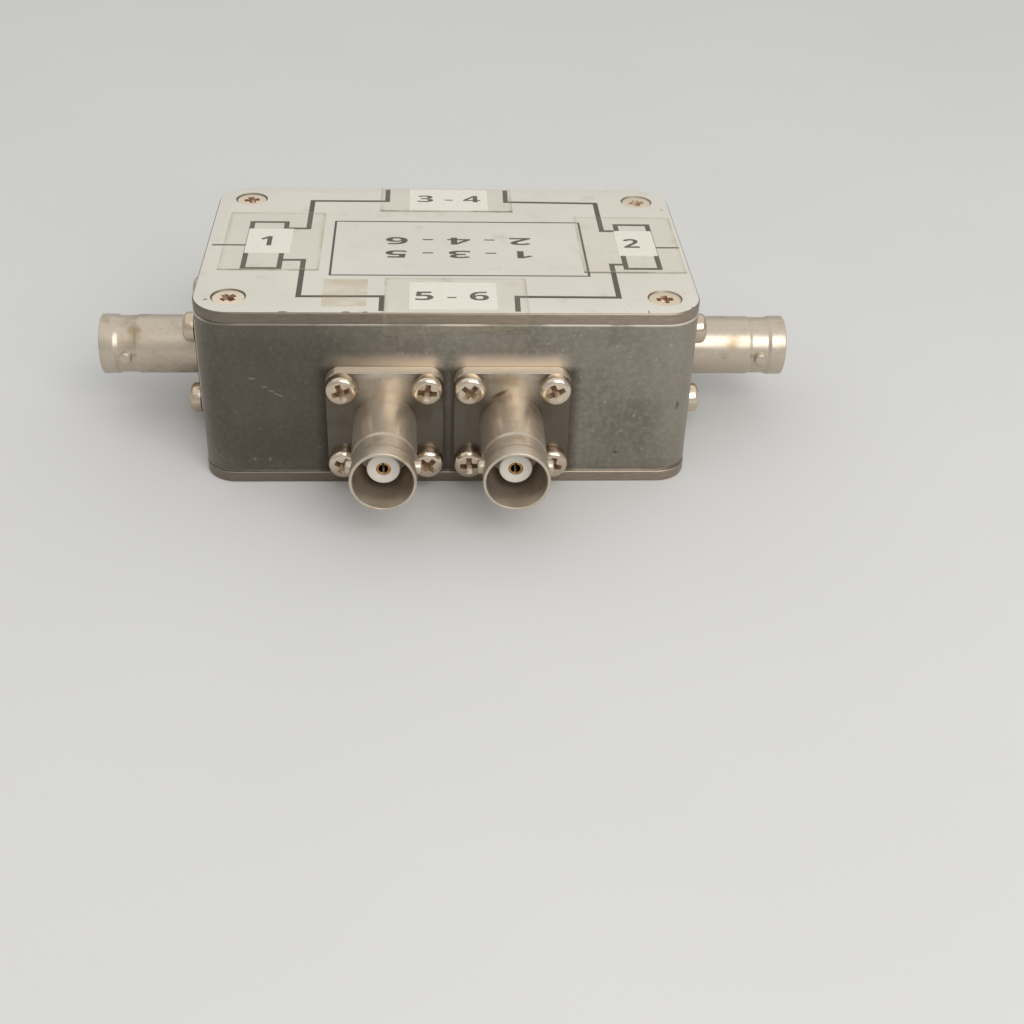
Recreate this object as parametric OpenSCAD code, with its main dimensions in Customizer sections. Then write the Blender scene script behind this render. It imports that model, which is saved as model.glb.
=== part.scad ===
// Two-channel antenna splitter: a cast case closed by two covers, with six bayonet sockets.
// Millimetres, +Z up. The origin is the middle of the underside and the front faces -Y.

/* [Case] */
// Width of the cast frame, left to right
case_w = 75; // [70:0.5:110]
// Depth of the cast frame, front to back
case_d = 47; // [44:0.5:80]
// Height over both covers
case_h = 29; // [26:0.5:45]
// Radius of the frame's upright corners
corner_r = 6.5; // [5:0.1:9]
// Thickness of the frame's walls
wall_t = 3; // [2.4:0.1:4]
// Thickness of each cover
cover_t = 1.8; // [1.6:0.1:2.4]
// How far the top cover stops short of the frame's outer edge
top_inset = 0.25; // [0.1:0.05:0.6]
// How far the bottom cover stands proud of the frame's outer edge
base_lip = 0.25; // [0.1:0.05:0.6]

/* [Cover screws] */
// Distance from the frame's outer edges to each cover screw
cover_screw_inset = 5.2; // [4.8:0.1:7]
// Length of a cover screw below the cover's face
cover_screw_len = 8; // [6:0.5:10]
// Head diameter of a cover screw
cover_head_d = 4.8; // [4.2:0.1:5.2]
// How far a screw head lies below the cover's face
cover_head_sink = 0.2; // [0.05:0.05:0.4]
// Metal left around the screw in each corner post of the frame
post_wall = 2.95; // [2:0.05:3.5]
// Depth of thread cut past a screw's tip
tap_relief = 1; // [0.5:0.1:2]

/* [Sockets] */
// Side of a socket's square flange
flange_w = 17.5; // [16:0.1:19]
// Thickness of a flange
flange_t = 2; // [1.6:0.1:2.6]
// Corner radius of a flange
flange_corner_r = 2.2; // [1:0.1:2.6]
// Distance from a flange's edges to its screws
flange_screw_edge = 2.4; // [2.2:0.05:3]
// Height of a flange's lower edge above the bottom cover
flange_lift = 0.95; // [0.5:0.05:3]
// Gap between the two flanges that share a wall
flange_gap = 1.5; // [1:0.1:6]
// Length of a socket from the wall to its rim
socket_len = 18.1; // [16.5:0.1:22]
// Diameter of the barrel behind the groove
barrel_d = 9.5; // [9.3:0.05:9.8]
// Diameter of the rim in front of the groove
rim_d = 9.65; // [9.5:0.05:9.8]
// Length of the rim in front of the groove
rim_len = 2.8; // [2:0.1:3.2]
// Diameter at the bottom of the groove
groove_d = 9.2; // [9:0.05:9.3]
// Width of the groove that the lugs stand in
groove_w = 2.8; // [2.4:0.1:4]
// Length of the slope at each end of the groove
groove_slope = 0.35; // [0.1:0.05:0.6]
// Chamfer around the rim, outside and inside
rim_chamfer = 0.25; // [0.1:0.05:0.3]
// Diameter of the bore from the rim to the insulator's face
mouth_d = 8.3; // [8.1:0.05:8.5]
// Depth of the insulator's face behind the rim
mouth_depth = 3.5; // [2.5:0.1:5]
// Diameter of the bore around the insulator
bore_d = 7.8; // [7.2:0.05:8.2]
// Depth of the bore behind the rim
bore_depth = 8.4; // [7:0.1:11]
// Diameter of a bayonet lug
lug_d = 2; // [1.6:0.1:2.2]
// Distance over the tips of the two lugs
lug_span = 11; // [10.6:0.1:11.4]
// Diameter of the spigot that passes through the wall
spigot_d = 8.6; // [8:0.1:9.4]
// Length of the spigot past the wall's inner face
spigot_tail = 0.8; // [0.4:0.1:1.6]

/* [Insulators and contacts] */
// Diameter of an insulator in front of its shoulder
insulator_d = 4.8; // [4.2:0.1:5.4]
// Diameter of an insulator behind its shoulder
insulator_rear_d = 6; // [5.6:0.1:6.8]
// Distance of the insulator's shoulder in front of the wall's outer face
insulator_step = 1; // [0.2:0.1:3]
// Length of the insulator past the end of the spigot
insulator_tail = 0.8; // [0.4:0.1:1.6]
// Diameter of a contact in front of its shoulder
contact_d = 2.06; // [1.8:0.02:2.4]
// Distance of the contact's shoulder in front of the wall's outer face
contact_step = 2; // [1:0.1:4]
// How far the contact's end lies behind the insulator's face
contact_sink = 0.15; // [0:0.05:0.5]
// Diameter of the hole that takes a plug's pin
contact_bore_d = 1.36; // [1.2:0.02:1.5]
// Depth of the hole that takes a plug's pin
contact_bore_depth = 5; // [4:0.1:7]
// Width of the slit that makes the contact springy
contact_slit_w = 0.3; // [0.2:0.05:0.4]
// Length of the slit
contact_slit_len = 4; // [2:0.1:4.4]
// Diameter of a contact's tail
tail_d = 1.3; // [1:0.05:1.5]
// Length of a contact's tail that lies on the board
tail_land = 4.5; // [3:0.1:5.5]

/* [Screws] */
// Thread diameter of the cover screws and flange screws
thread_d = 2.5; // [2:0.1:2.8]
// Head diameter of a flange screw
pan_head_d = 4.75; // [4:0.05:5]
// Head height of a flange screw
pan_head_h = 2; // [1.5:0.1:2.4]
// Radius of the round edge of a flange screw's head
pan_edge_r = 0.9; // [0.2:0.05:1]
// Length of a flange screw past the wall's inner face
screw_tip = 0.8; // [0.2:0.1:1.4]
// Length of the arms of a cross recess
recess_d = 2.6; // [2:0.1:3]
// Width of the arms of a cross recess
recess_w = 0.7; // [0.5:0.05:0.9]
// Depth of a cross recess
recess_depth = 1.2; // [0.8:0.1:1.4]

/* [Circuit board] */
// Thickness of the board
board_t = 1.6; // [1:0.1:2.4]
// Gap between the board's edge and the socket tails and corner posts
board_gap = 0.5; // [0.3:0.1:1.5]
// Distance from the board's long edges to its screws
board_screw_edge = 2.2; // [2:0.1:3]
// Diameter of the standoffs that carry the board
standoff_d = 4.8; // [4:0.1:6]
// Gap between a standoff and the corner post beside it
standoff_gap = 1.2; // [0.4:0.1:2]
// Thread diameter of the board screws
board_thread_d = 2; // [1.6:0.1:2.4]
// Length of a board screw under its head
board_screw_len = 5; // [3.5:0.5:6]
// Head diameter of a board screw
board_head_d = 3.8; // [3.4:0.1:4.2]
// Head height of a board screw
board_head_h = 1.3; // [1:0.1:1.8]
// Length of the arms of a board screw's cross recess
board_recess_d = 2; // [1.6:0.1:2.2]
// Diameter of a solder joint where it meets the board
solder_d = 3.6; // [3:0.1:4]
// Diameter of a solder joint at its top
solder_top_d = 1.8; // [1.4:0.1:2.4]
// Thickness of solder over a contact's tail
solder_cover = 0.25; // [0.1:0.05:0.5]
// Thickness of solder between a contact's tail and the board
solder_under = 0.15; // [0.1:0.05:0.3]

/* [Transformers] */
// Distance of each channel's transformer from the end of the board
channel_inset = 18.9; // [16.4:0.1:22.4]
// Width of a transformer core
core_w = 9; // [8:0.1:11]
// Height of a transformer core
core_h = 5; // [4.4:0.1:6]
// Length of a transformer core along its holes
core_len = 7.5; // [6:0.1:9]
// Diameter of the two holes through a core
core_hole_d = 2.5; // [2.3:0.1:3]
// Diameter of the winding wire
wire_d = 0.5; // [0.3:0.05:0.55]
// Turns in a winding
turns = 3; // [2:1:3]
// Distance between neighbouring turns
turn_pitch = 0.6; // [0.6:0.02:0.66]
// Straight length of the wire between the core and its bend
wire_lead = 0.4; // [0.2:0.1:0.8]

/* [Chokes, resistors and capacitors] */
// Distance of a choke outside its transformer
choke_dx = 8.5; // [7.5:0.1:10]
// Distance of a choke behind the middle of the board
choke_y = 8; // [7:0.1:9]
// Diameter of a choke's end discs
choke_d = 6; // [5:0.1:6.6]
// Height of a choke
choke_h = 8; // [6:0.1:10]
// Thickness of a choke's end discs
choke_disc_t = 1; // [0.6:0.1:1.5]
// Diameter of the neck between a choke's end discs
choke_neck_d = 3; // [2:0.1:3.6]
// Outer diameter of a choke's winding
choke_coil_d = 5.2; // [4.4:0.1:5.6]
// Distance of a resistor in front of the middle of the board
resistor_y = 8; // [7:0.1:9]
// Diameter of a resistor's end caps
resistor_d = 2.5; // [2:0.1:3]
// Diameter of a resistor between its end caps
resistor_waist_d = 2.1; // [1.6:0.1:2.3]
// Length of a resistor's body
resistor_len = 6.3; // [5:0.1:8]
// Length of each of a resistor's end caps
resistor_cap_len = 1.4; // [0.8:0.1:2]
// Diameter of a resistor's leads
lead_d = 0.6; // [0.4:0.05:0.8]
// Radius of the bend in a resistor's leads
lead_bend_r = 0.9; // [0.7:0.1:1.2]
// Gap under a resistor's body
resistor_lift = 0.3; // [0.1:0.1:1]
// Length of a capacitor
capacitor_len = 3.2; // [2:0.1:3.4]
// Width of a capacitor
capacitor_w = 1.6; // [1.2:0.1:2.5]
// Height of a capacitor's ceramic
capacitor_h = 1.2; // [0.8:0.1:2]
// Length of a capacitor's metal ends
capacitor_end = 0.5; // [0.3:0.05:0.8]
// Thickness of the metal on a capacitor's ends
capacitor_metal = 0.06; // [0.04:0.02:0.1]
// Gap between a capacitor and the contact's tail beside it
capacitor_gap = 0.6; // [0.4:0.1:1]

/* [Clearances] */
// Gap between a screw's thread and its tapped hole
thread_clear = 0.02; // [0.01:0.01:0.05]
// Gap around a screw in a plain hole
hole_clear = 0.15; // [0.1:0.05:0.3]
// Gap between pieces that seat in each other
seat_clear = 0.02; // [0.01:0.01:0.04]

/* [Hidden] */
$fn = 64;

// Extra length that takes a cut clear of the face it leaves
over = 1;

// Sides of the thin winding wire
wire_sides = 12;

frame_h = case_h - 2 * cover_t;
frame_top = cover_t + frame_h;
inner_w = case_w - 2 * wall_t;
inner_d = case_d - 2 * wall_t;

thread_r = thread_d / 2;
tapped_r = thread_r + thread_clear;
plain_r = thread_r + hole_clear;
post_r = thread_r + post_wall;
post_x = case_w / 2 - cover_screw_inset;
post_y = case_d / 2 - cover_screw_inset;

cover_head_r = cover_head_d / 2;
cover_head_h = cover_head_r - thread_r;
sink_face_r = cover_head_r + cover_head_sink + seat_clear;

port_z = cover_t + flange_lift + flange_w / 2;
port_pitch = flange_w + flange_gap;
flange_screw_at = flange_w / 2 - flange_screw_edge;

mouth_z = socket_len - mouth_depth;
bore_z = socket_len - bore_depth;
groove_end = socket_len - rim_len;
groove_start = groove_end - groove_w;
lug_z = groove_end - groove_w / 2;
lug_root = (mouth_d + groove_d) / 4;
spigot_end = -wall_t - spigot_tail;
insulator_end = spigot_end - insulator_tail;
board_margin = spigot_tail + insulator_tail + board_gap;
tail_end = -wall_t - board_margin - tail_land;

board_w = inner_w - 2 * board_margin;
board_d = inner_d - 2 * board_margin;
channel_x = board_w / 2 - channel_inset;
board_top = port_z - tail_d / 2 - seat_clear - solder_under;
board_base = board_top - board_t;
board_screw_x = post_x - post_r - standoff_gap - standoff_d / 2;
board_screw_y = board_d / 2 - board_screw_edge;
board_tapped_r = board_thread_d / 2 + thread_clear;
board_plain_r = board_thread_d / 2 + hole_clear;
solder_h = solder_under + tail_d + 2 * seat_clear + solder_cover;

core_pitch = core_w - core_h;
core_z = board_top + core_h / 2;
resistor_z = board_top + resistor_lift + resistor_d / 2;

// Each port: its name, where its axis meets the wall, and the turn that faces it outwards
PORTS = [
    ["a", -case_w / 2, 0, 270],
    ["b", case_w / 2, 0, 90],
    ["a1", -port_pitch / 2, case_d / 2, 180],
    ["b1", port_pitch / 2, case_d / 2, 180],
    ["a2", -port_pitch / 2, -case_d / 2, 0],
    ["b2", port_pitch / 2, -case_d / 2, 0],
];

// Each channel: its name and the side of the case it lies on
CHANNELS = [["a", -1], ["b", 1]];

PORT_PIECES = ["socket_body", "insulator", "contact", "flange_screws"];
CHANNEL_PIECES = [
    "transformer_core",
    "transformer_winding",
    "choke_core",
    "choke_winding",
    "balance_resistor",
];

// Colours of the finishes
cast_aluminium = "#8a8175";
light_paint = "#d6d2c6";
plain_aluminium = "#a0978a";
nickel = "#b4a994";
bright_screw = "#c9bfae";
white_plastic = "#f0eee8";
gold = "#b8893e";
board_green = "#2f6b3c";
ferrite = "#3b3a3c";
copper = "#b4662f";
resistor_blue = "#4f7fae";
ceramic = "#b59a6b";
solder = "#b9bcc0";

// Flat outlines and places

module rounded_rect(w, d, r) {
    square([w - 2 * r, d], center = true);
    square([w, d - 2 * r], center = true);
    for (x = [-1, 1], y = [-1, 1])
        translate([x * (w / 2 - r), y * (d / 2 - r)])
            circle(r);
}

module at_corners(x, y) {
    for (i = [-1, 1], j = [-1, 1])
        translate([i * x, j * y])
            children();
}

// Stands its children on a port: local Z points out of the case and local Y points up
module at_port(port) {
    translate([port[1], port[2], port_z])
        rotate([90, 0, port[3]])
            children();
}

// Turns its children a different amount at each of the four corners, as a hand leaves screws
module at_screws(x, y) {
    for (i = [-1, 1], j = [-1, 1])
        translate([i * x, j * y])
            rotate(25 * i + 65 * j)
                children();
}

module half_ring(radius, tube_d) {
    rotate_extrude(angle = 180)
        translate([radius, 0])
            circle(d = tube_d);
}

module quarter_ring(radius, tube_d) {
    rotate_extrude(angle = 90)
        translate([radius, 0])
            circle(d = tube_d);
}

// Screws

module cross_recess(arms, depth) {
    intersection() {
        union() {
            cube([arms, recess_w, 2 * depth], center = true);
            cube([recess_w, arms, 2 * depth], center = true);
        }
        translate([0, 0, -depth])
            cylinder(h = depth + over, r1 = recess_w / 2, r2 = arms / 2 * (depth + over) / depth);
    }
}

// A pan-head screw with the underside of its head at the local origin
module pan_screw(head_d, head_h, edge_r, shank_d, shank_len, arms) {
    difference() {
        union() {
            rotate_extrude() {
                square([head_d / 2 - edge_r, head_h]);
                square([head_d / 2, head_h - edge_r]);
                translate([head_d / 2 - edge_r, head_h - edge_r])
                    circle(edge_r);
            }
            translate([0, 0, -shank_len])
                cylinder(h = shank_len + head_h / 2, d = shank_d);
        }
        translate([0, 0, head_h])
            cross_recess(arms, min(recess_depth, head_h * 0.8));
    }
}

// A countersunk screw with the cover's outer face at the local origin
module cover_screw() {
    difference() {
        union() {
            translate([0, 0, -cover_head_sink - cover_head_h])
                cylinder(h = cover_head_h, r1 = thread_r, r2 = cover_head_r);
            translate([0, 0, -cover_screw_len])
                cylinder(h = cover_screw_len - cover_head_sink - cover_head_h / 2, r = thread_r);
        }
        translate([0, 0, -cover_head_sink])
            cross_recess(recess_d, recess_depth);
    }
}

module cover_screw_hole() {
    translate([0, 0, -cover_t - over])
        cylinder(h = cover_t + 2 * over, r = plain_r);
    translate([0, 0, plain_r - sink_face_r])
        cylinder(h = sink_face_r - plain_r + over, r1 = plain_r, r2 = sink_face_r + over);
}

// Case

module case_frame() {
    color(cast_aluminium)
        difference() {
            union() {
                translate([0, 0, cover_t])
                    linear_extrude(frame_h)
                        frame_section();
                board_standoffs();
            }
            for (top = [0, 1])
                translate([0, 0, top ? frame_top : cover_t])
                    mirror([0, 0, top])
                        translate([0, 0, -over])
                            at_corners(post_x, post_y)
                                cylinder(h = cover_screw_len - cover_t + tap_relief + over, r = tapped_r);
            at_corners(board_screw_x, board_screw_y)
                translate([0, 0, board_base + board_t - board_screw_len - tap_relief])
                    cylinder(h = board_screw_len + tap_relief, r = board_tapped_r);
            for (port = PORTS)
                at_port(port)
                    translate([0, 0, -wall_t - over]) {
                        cylinder(h = wall_t + 2 * over, d = spigot_d + 2 * seat_clear);
                        at_corners(flange_screw_at, flange_screw_at)
                            cylinder(h = wall_t + 2 * over, r = tapped_r);
                    }
        }
}

// Four walls with a round post in each corner
module frame_section() {
    difference() {
        rounded_rect(case_w, case_d, corner_r);
        difference() {
            rounded_rect(inner_w, inner_d, corner_r - wall_t);
            at_corners(post_x, post_y)
                circle(post_r);
        }
    }
}

// Round standoffs, each tied to the long wall beside it by a rib
module board_standoffs() {
    rib_end = inner_d / 2 + wall_t / 2;
    for (side = [-1, 1], x = [-board_screw_x, board_screw_x])
        translate([x, 0, cover_t]) {
            translate([0, side * board_screw_y, 0])
                cylinder(h = board_base - cover_t, d = standoff_d);
            translate([-standoff_d / 4, side > 0 ? board_screw_y : -rib_end, 0])
                cube([standoff_d / 2, rib_end - board_screw_y, board_base - cover_t]);
        }
}

module top_cover() {
    color(light_paint)
        translate([0, 0, case_h])
            cover_plate(-top_inset);
}

module bottom_cover() {
    color(plain_aluminium)
        mirror([0, 0, 1])
            cover_plate(base_lip);
}

// A cover with its outer face at the local origin, grown past the frame's outline by grow
module cover_plate(grow) {
    difference() {
        translate([0, 0, -cover_t])
            linear_extrude(cover_t)
                rounded_rect(case_w + 2 * grow, case_d + 2 * grow, corner_r + grow);
        at_corners(post_x, post_y)
            cover_screw_hole();
    }
}

module top_cover_screws() {
    color(bright_screw)
        translate([0, 0, case_h])
            at_screws(post_x, post_y)
                cover_screw();
}

module bottom_cover_screws() {
    color(bright_screw)
        mirror([0, 0, 1])
            at_screws(post_x, post_y)
                cover_screw();
}

// Sockets, with the wall's outer face at local Z = 0

module socket_body() {
    color(nickel)
        difference() {
            union() {
                rotate_extrude()
                    polygon([
                        [0, spigot_end],
                        [spigot_d / 2, spigot_end],
                        [spigot_d / 2, 0],
                        [barrel_d / 2, 0],
                        [barrel_d / 2, groove_start - groove_slope],
                        [groove_d / 2, groove_start],
                        [groove_d / 2, groove_end],
                        [rim_d / 2, groove_end + groove_slope],
                        [rim_d / 2, socket_len - rim_chamfer],
                        [rim_d / 2 - rim_chamfer, socket_len],
                        [0, socket_len],
                    ]);
                linear_extrude(flange_t)
                    rounded_rect(flange_w, flange_w, flange_corner_r);
                for (turn = [0, 180])
                    rotate(turn)
                        translate([lug_root, 0, lug_z])
                            rotate([0, 90, 0])
                                cylinder(h = lug_span / 2 - lug_root, d = lug_d);
            }
            socket_bore();
            translate([0, 0, -over])
                at_corners(flange_screw_at, flange_screw_at)
                    cylinder(h = flange_t + 2 * over, r = plain_r);
        }
}

// Stepped bore: rear seat of the insulator, its neck, the bore and the mouth
module socket_bore() {
    rear_r = insulator_rear_d / 2 + seat_clear;
    neck_r = insulator_d / 2 + seat_clear;
    rotate_extrude()
        polygon([
            [0, spigot_end - over],
            [rear_r, spigot_end - over],
            [rear_r, insulator_step],
            [neck_r, insulator_step],
            [neck_r, bore_z],
            [bore_d / 2, bore_z],
            [bore_d / 2, mouth_z],
            [mouth_d / 2, mouth_z],
            [mouth_d / 2, socket_len - rim_chamfer],
            [mouth_d / 2 + rim_chamfer, socket_len],
            [mouth_d / 2 + rim_chamfer, socket_len + over],
            [0, socket_len + over],
        ]);
}

module insulator() {
    contact_hole_r = contact_d / 2 + seat_clear;
    tail_hole_r = tail_d / 2 + seat_clear;
    color(white_plastic)
        rotate_extrude()
            polygon([
                [tail_hole_r, insulator_end],
                [insulator_rear_d / 2, insulator_end],
                [insulator_rear_d / 2, insulator_step],
                [insulator_d / 2, insulator_step],
                [insulator_d / 2, mouth_z],
                [contact_hole_r, mouth_z],
                [contact_hole_r, contact_step],
                [tail_hole_r, contact_step],
            ]);
}

module contact() {
    end_z = mouth_z - contact_sink;
    color(gold)
        difference() {
            rotate_extrude()
                polygon([
                    [0, tail_end],
                    [tail_d / 2, tail_end],
                    [tail_d / 2, contact_step],
                    [contact_d / 2, contact_step],
                    [contact_d / 2, end_z],
                    [contact_bore_d / 2, end_z],
                    [contact_bore_d / 2, end_z - contact_bore_depth],
                    [0, end_z - contact_bore_depth],
                ]);
            translate([-contact_slit_w / 2, -contact_d / 2 - over, end_z - contact_slit_len])
                cube([contact_slit_w, contact_d + 2 * over, contact_slit_len + over]);
        }
}

module flange_screws() {
    color(bright_screw)
        translate([0, 0, flange_t])
            at_screws(flange_screw_at, flange_screw_at)
                pan_screw(
                    pan_head_d,
                    pan_head_h,
                    pan_edge_r,
                    thread_d,
                    flange_t + wall_t + screw_tip,
                    recess_d
                );
}

// Circuit board and what is soldered to it

module circuit_board() {
    notch_x = post_x - post_r - board_gap;
    notch_y = post_y - post_r - board_gap;
    color(board_green)
        translate([0, 0, board_base])
            linear_extrude(board_t)
                difference() {
                    union() {
                        square([board_w, 2 * notch_y], center = true);
                        square([2 * notch_x, board_d], center = true);
                    }
                    at_corners(board_screw_x, board_screw_y)
                        circle(board_plain_r);
                }
}

module board_screws() {
    color(bright_screw)
        translate([0, 0, board_top])
            at_screws(board_screw_x, board_screw_y)
                pan_screw(
                    board_head_d,
                    board_head_h,
                    board_head_h / 2,
                    board_thread_d,
                    board_screw_len,
                    board_recess_d
                );
}

// A cone of solder round the middle of each tail
module solder_joints() {
    joint_z = tail_end + tail_land / 2;
    color(solder)
        for (port = PORTS)
            at_port(port)
                difference() {
                    translate([0, board_top - port_z, joint_z])
                        rotate([-90, 0, 0])
                            cylinder(h = solder_h, d1 = solder_d, d2 = solder_top_d);
                    translate([0, 0, joint_z - solder_d])
                        cylinder(h = 2 * solder_d, d = tail_d + 2 * seat_clear);
                }
}

// A chip in line with each tail, its metal ends a little thicker than its ceramic
module coupling_capacitors() {
    chip_z = tail_end - capacitor_gap - capacitor_len;
    chip_y = board_top - port_z;
    color(ceramic)
        for (port = PORTS)
            at_port(port)
                translate([0, chip_y, chip_z]) {
                    translate([-capacitor_w / 2, 0, 0])
                        cube([capacitor_w, capacitor_h, capacitor_len]);
                    for (z = [0, capacitor_len - capacitor_end])
                        translate([-capacitor_w / 2 - capacitor_metal, 0, z])
                            cube([
                                capacitor_w + 2 * capacitor_metal,
                                capacitor_h + capacitor_metal,
                                capacitor_end
                            ]);
                }
}

// A two-hole core with round ends, its holes along Y
module transformer_core(side) {
    color(ferrite)
        translate([side * channel_x, core_len / 2, core_z])
            rotate([90, 0, 0])
                linear_extrude(core_len)
                    difference() {
                        union() {
                            square([core_pitch, core_h], center = true);
                            for (x = [-1, 1])
                                translate([x * core_pitch / 2, 0])
                                    circle(d = core_h);
                        }
                        for (x = [-1, 1])
                            translate([x * core_pitch / 2, 0])
                                circle(d = core_hole_d);
                    }
}

// One wire wound through both holes: each turn comes back level and goes forward a step higher
module transformer_winding(side) {
    $fn = wire_sides;
    reach = core_len / 2 + wire_lead;
    rise_r = norm([core_pitch, turn_pitch]) / 2;
    rise_angle = atan(turn_pitch / core_pitch);
    lead_run = rise_r + 2 * wire_d;
    bend_r = 2 * wire_d;
    first_z = -(turns - 1) * turn_pitch / 2;
    color(copper)
        translate([side * channel_x, 0, core_z]) {
            for (turn = [0 : turns - 1])
                translate([0, 0, first_z + turn * turn_pitch]) {
                    for (x = [-1, 1])
                        translate([x * core_pitch / 2, reach, 0])
                            rotate([90, 0, 0])
                                cylinder(h = 2 * reach, d = wire_d);
                    translate([0, reach, 0])
                        half_ring(core_pitch / 2, wire_d);
                    if (turn < turns - 1)
                        translate([0, -reach, turn_pitch / 2])
                            rotate([0, rise_angle, 0])
                                mirror([0, 1, 0])
                                    half_ring(rise_r, wire_d);
                }
            wire_end(-core_pitch / 2, first_z, lead_run, bend_r);
            wire_end(core_pitch / 2, -first_z, lead_run, bend_r);
        }

    // Takes a wire end forward, round a bend and down to the board
    module wire_end(x, z, run, radius) {
        translate([x, -reach, z]) {
            rotate([90, 0, 0])
                cylinder(h = run, d = wire_d);
            translate([0, -run, -radius])
                rotate([90, 0, -90])
                    quarter_ring(radius, wire_d);
            translate([0, -run - radius, -core_h / 2 - z])
                cylinder(h = core_h / 2 + z - radius, d = wire_d);
        }
    }
}

module choke_core(side) {
    color(ferrite)
        translate([side * (channel_x + choke_dx), choke_y, board_top])
            rotate_extrude()
                polygon([
                    [0, 0],
                    [choke_d / 2, 0],
                    [choke_d / 2, choke_disc_t],
                    [choke_neck_d / 2, choke_disc_t],
                    [choke_neck_d / 2, choke_h - choke_disc_t],
                    [choke_d / 2, choke_h - choke_disc_t],
                    [choke_d / 2, choke_h],
                    [0, choke_h],
                ]);
}

// The close-wound wire between a choke's end discs, as one sleeve
module choke_winding(side) {
    sleeve_h = choke_h - 2 * choke_disc_t - seat_clear;
    color(copper)
        translate([side * (channel_x + choke_dx), choke_y, board_top + choke_disc_t])
            difference() {
                cylinder(h = sleeve_h, d = choke_coil_d);
                translate([0, 0, -over])
                    cylinder(h = sleeve_h + 2 * over, d = choke_neck_d + 2 * seat_clear);
            }
}

// A resistor along X on two bent leads
module balance_resistor(side) {
    half = resistor_len / 2;
    cap_r = resistor_d / 2;
    waist_r = resistor_waist_d / 2;
    color(resistor_blue)
        translate([side * (channel_x + choke_dx), -resistor_y, resistor_z]) {
            rotate([0, 90, 0])
                rotate_extrude()
                    polygon([
                        [0, -half],
                        [cap_r, -half],
                        [cap_r, -half + resistor_cap_len],
                        [waist_r, -half + resistor_cap_len],
                        [waist_r, half - resistor_cap_len],
                        [cap_r, half - resistor_cap_len],
                        [cap_r, half],
                        [0, half],
                    ]);
            for (turn = [0, 180])
                rotate(turn) {
                    translate([half, 0, -lead_bend_r])
                        rotate([90, 0, 0])
                            quarter_ring(lead_bend_r, lead_d);
                    translate([half + lead_bend_r, 0, board_top - resistor_z])
                        cylinder(h = resistor_z - board_top - lead_bend_r, d = lead_d);
                }
        }
}

case_frame();
top_cover();
bottom_cover();
top_cover_screws();
bottom_cover_screws();
for (port = PORTS) {
    at_port(port) socket_body();
    at_port(port) insulator();
    at_port(port) contact();
    at_port(port) flange_screws();
}
circuit_board();
board_screws();
solder_joints();
coupling_capacitors();
for (channel = CHANNELS) {
    side = channel[1];
    transformer_core(side);
    transformer_winding(side);
    choke_core(side);
    choke_winding(side);
    balance_resistor(side);
}
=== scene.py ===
# %% [markdown]
# # An antenna splitter, piece by piece
#
# The object is a palm-sized cast box with round bayonet sockets on all four sides. It shares two
# antenna lines between receivers. A CAD model already holds its true sizes, so this lesson loads
# that model as a fixed frame and gives each piece its edges, finish and wear. Run the cells in order.

# %% Load the frame
import math

import bmesh
import bpy
from mathutils import Euler, Matrix, Vector


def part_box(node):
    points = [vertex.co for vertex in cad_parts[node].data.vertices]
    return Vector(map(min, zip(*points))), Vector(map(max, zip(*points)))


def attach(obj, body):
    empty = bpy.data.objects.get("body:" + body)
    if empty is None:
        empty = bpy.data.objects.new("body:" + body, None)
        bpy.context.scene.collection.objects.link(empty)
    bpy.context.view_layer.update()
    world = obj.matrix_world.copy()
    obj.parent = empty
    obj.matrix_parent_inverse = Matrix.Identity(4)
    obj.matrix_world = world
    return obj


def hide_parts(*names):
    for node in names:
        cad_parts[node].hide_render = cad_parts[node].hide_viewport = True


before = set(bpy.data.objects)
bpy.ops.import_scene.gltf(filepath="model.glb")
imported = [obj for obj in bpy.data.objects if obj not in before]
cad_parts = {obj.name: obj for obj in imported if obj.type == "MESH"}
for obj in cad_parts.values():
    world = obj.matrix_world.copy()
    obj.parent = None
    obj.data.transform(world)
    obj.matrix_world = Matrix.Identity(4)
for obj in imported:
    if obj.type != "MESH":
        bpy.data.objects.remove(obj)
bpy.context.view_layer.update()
scene = bpy.context.scene
MM = 0.001

# %% [markdown]
# ## The camera
#
# A photograph fixes one viewpoint, so the camera comes before any shape: every later choice is then
# judged in the same frame. The place, turn and lens were worked out from the box's own corners. A
# camera could also be aimed with a Track To constraint, but a plain matrix holds the small roll too.

# %% The camera
CAMERA_AT = Vector((-3.134, -215.853, 126.068)) * MM
CAMERA_PITCH, CAMERA_YAW, CAMERA_ROLL = 0.6006, 0.0691, -0.0350
LENS = 51.72


def new_object(name, data):
    """An object of some data, linked to the scene."""
    made = bpy.data.objects.new(name, data)
    scene.collection.objects.link(made)
    return made


camera_data = bpy.data.cameras.new("camera")
camera_data.lens = LENS
camera_data.sensor_width = 36
camera_data.clip_start = 0.01
camera_data.clip_end = 50
camera = new_object("camera", camera_data)
tilt = Matrix.Rotation(math.pi / 2 - CAMERA_PITCH, 4, "X") @ Matrix.Rotation(-CAMERA_ROLL, 4, "Z")
camera.matrix_world = Matrix.Translation(CAMERA_AT) @ Matrix.Rotation(-CAMERA_YAW, 4, "Z") @ tilt
scene.camera = camera
print("camera looks along", [round(-c, 3) for c in camera.matrix_world.col[2][:3]])

# %% [markdown]
# ## Colours and nodes
#
# A few small helpers serve every finish. A picture's colours are sRGB numbers, while shaders work in
# linear light, so one function turns a hex colour into what a socket holds. Another adds a node, sets
# its options, and sets or links its inputs. The rest make an empty finish, and end it with coats of
# colour, each with a share that says where it shows, and a shader. A share often comes from a Map
# Range, whose inputs are a value, the two ends of its range, and what those two ends become.

# %% Helpers for nodes
SOFT = {"interpolation_type": "SMOOTHSTEP"}  # makes a Map Range ease in and out


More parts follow.
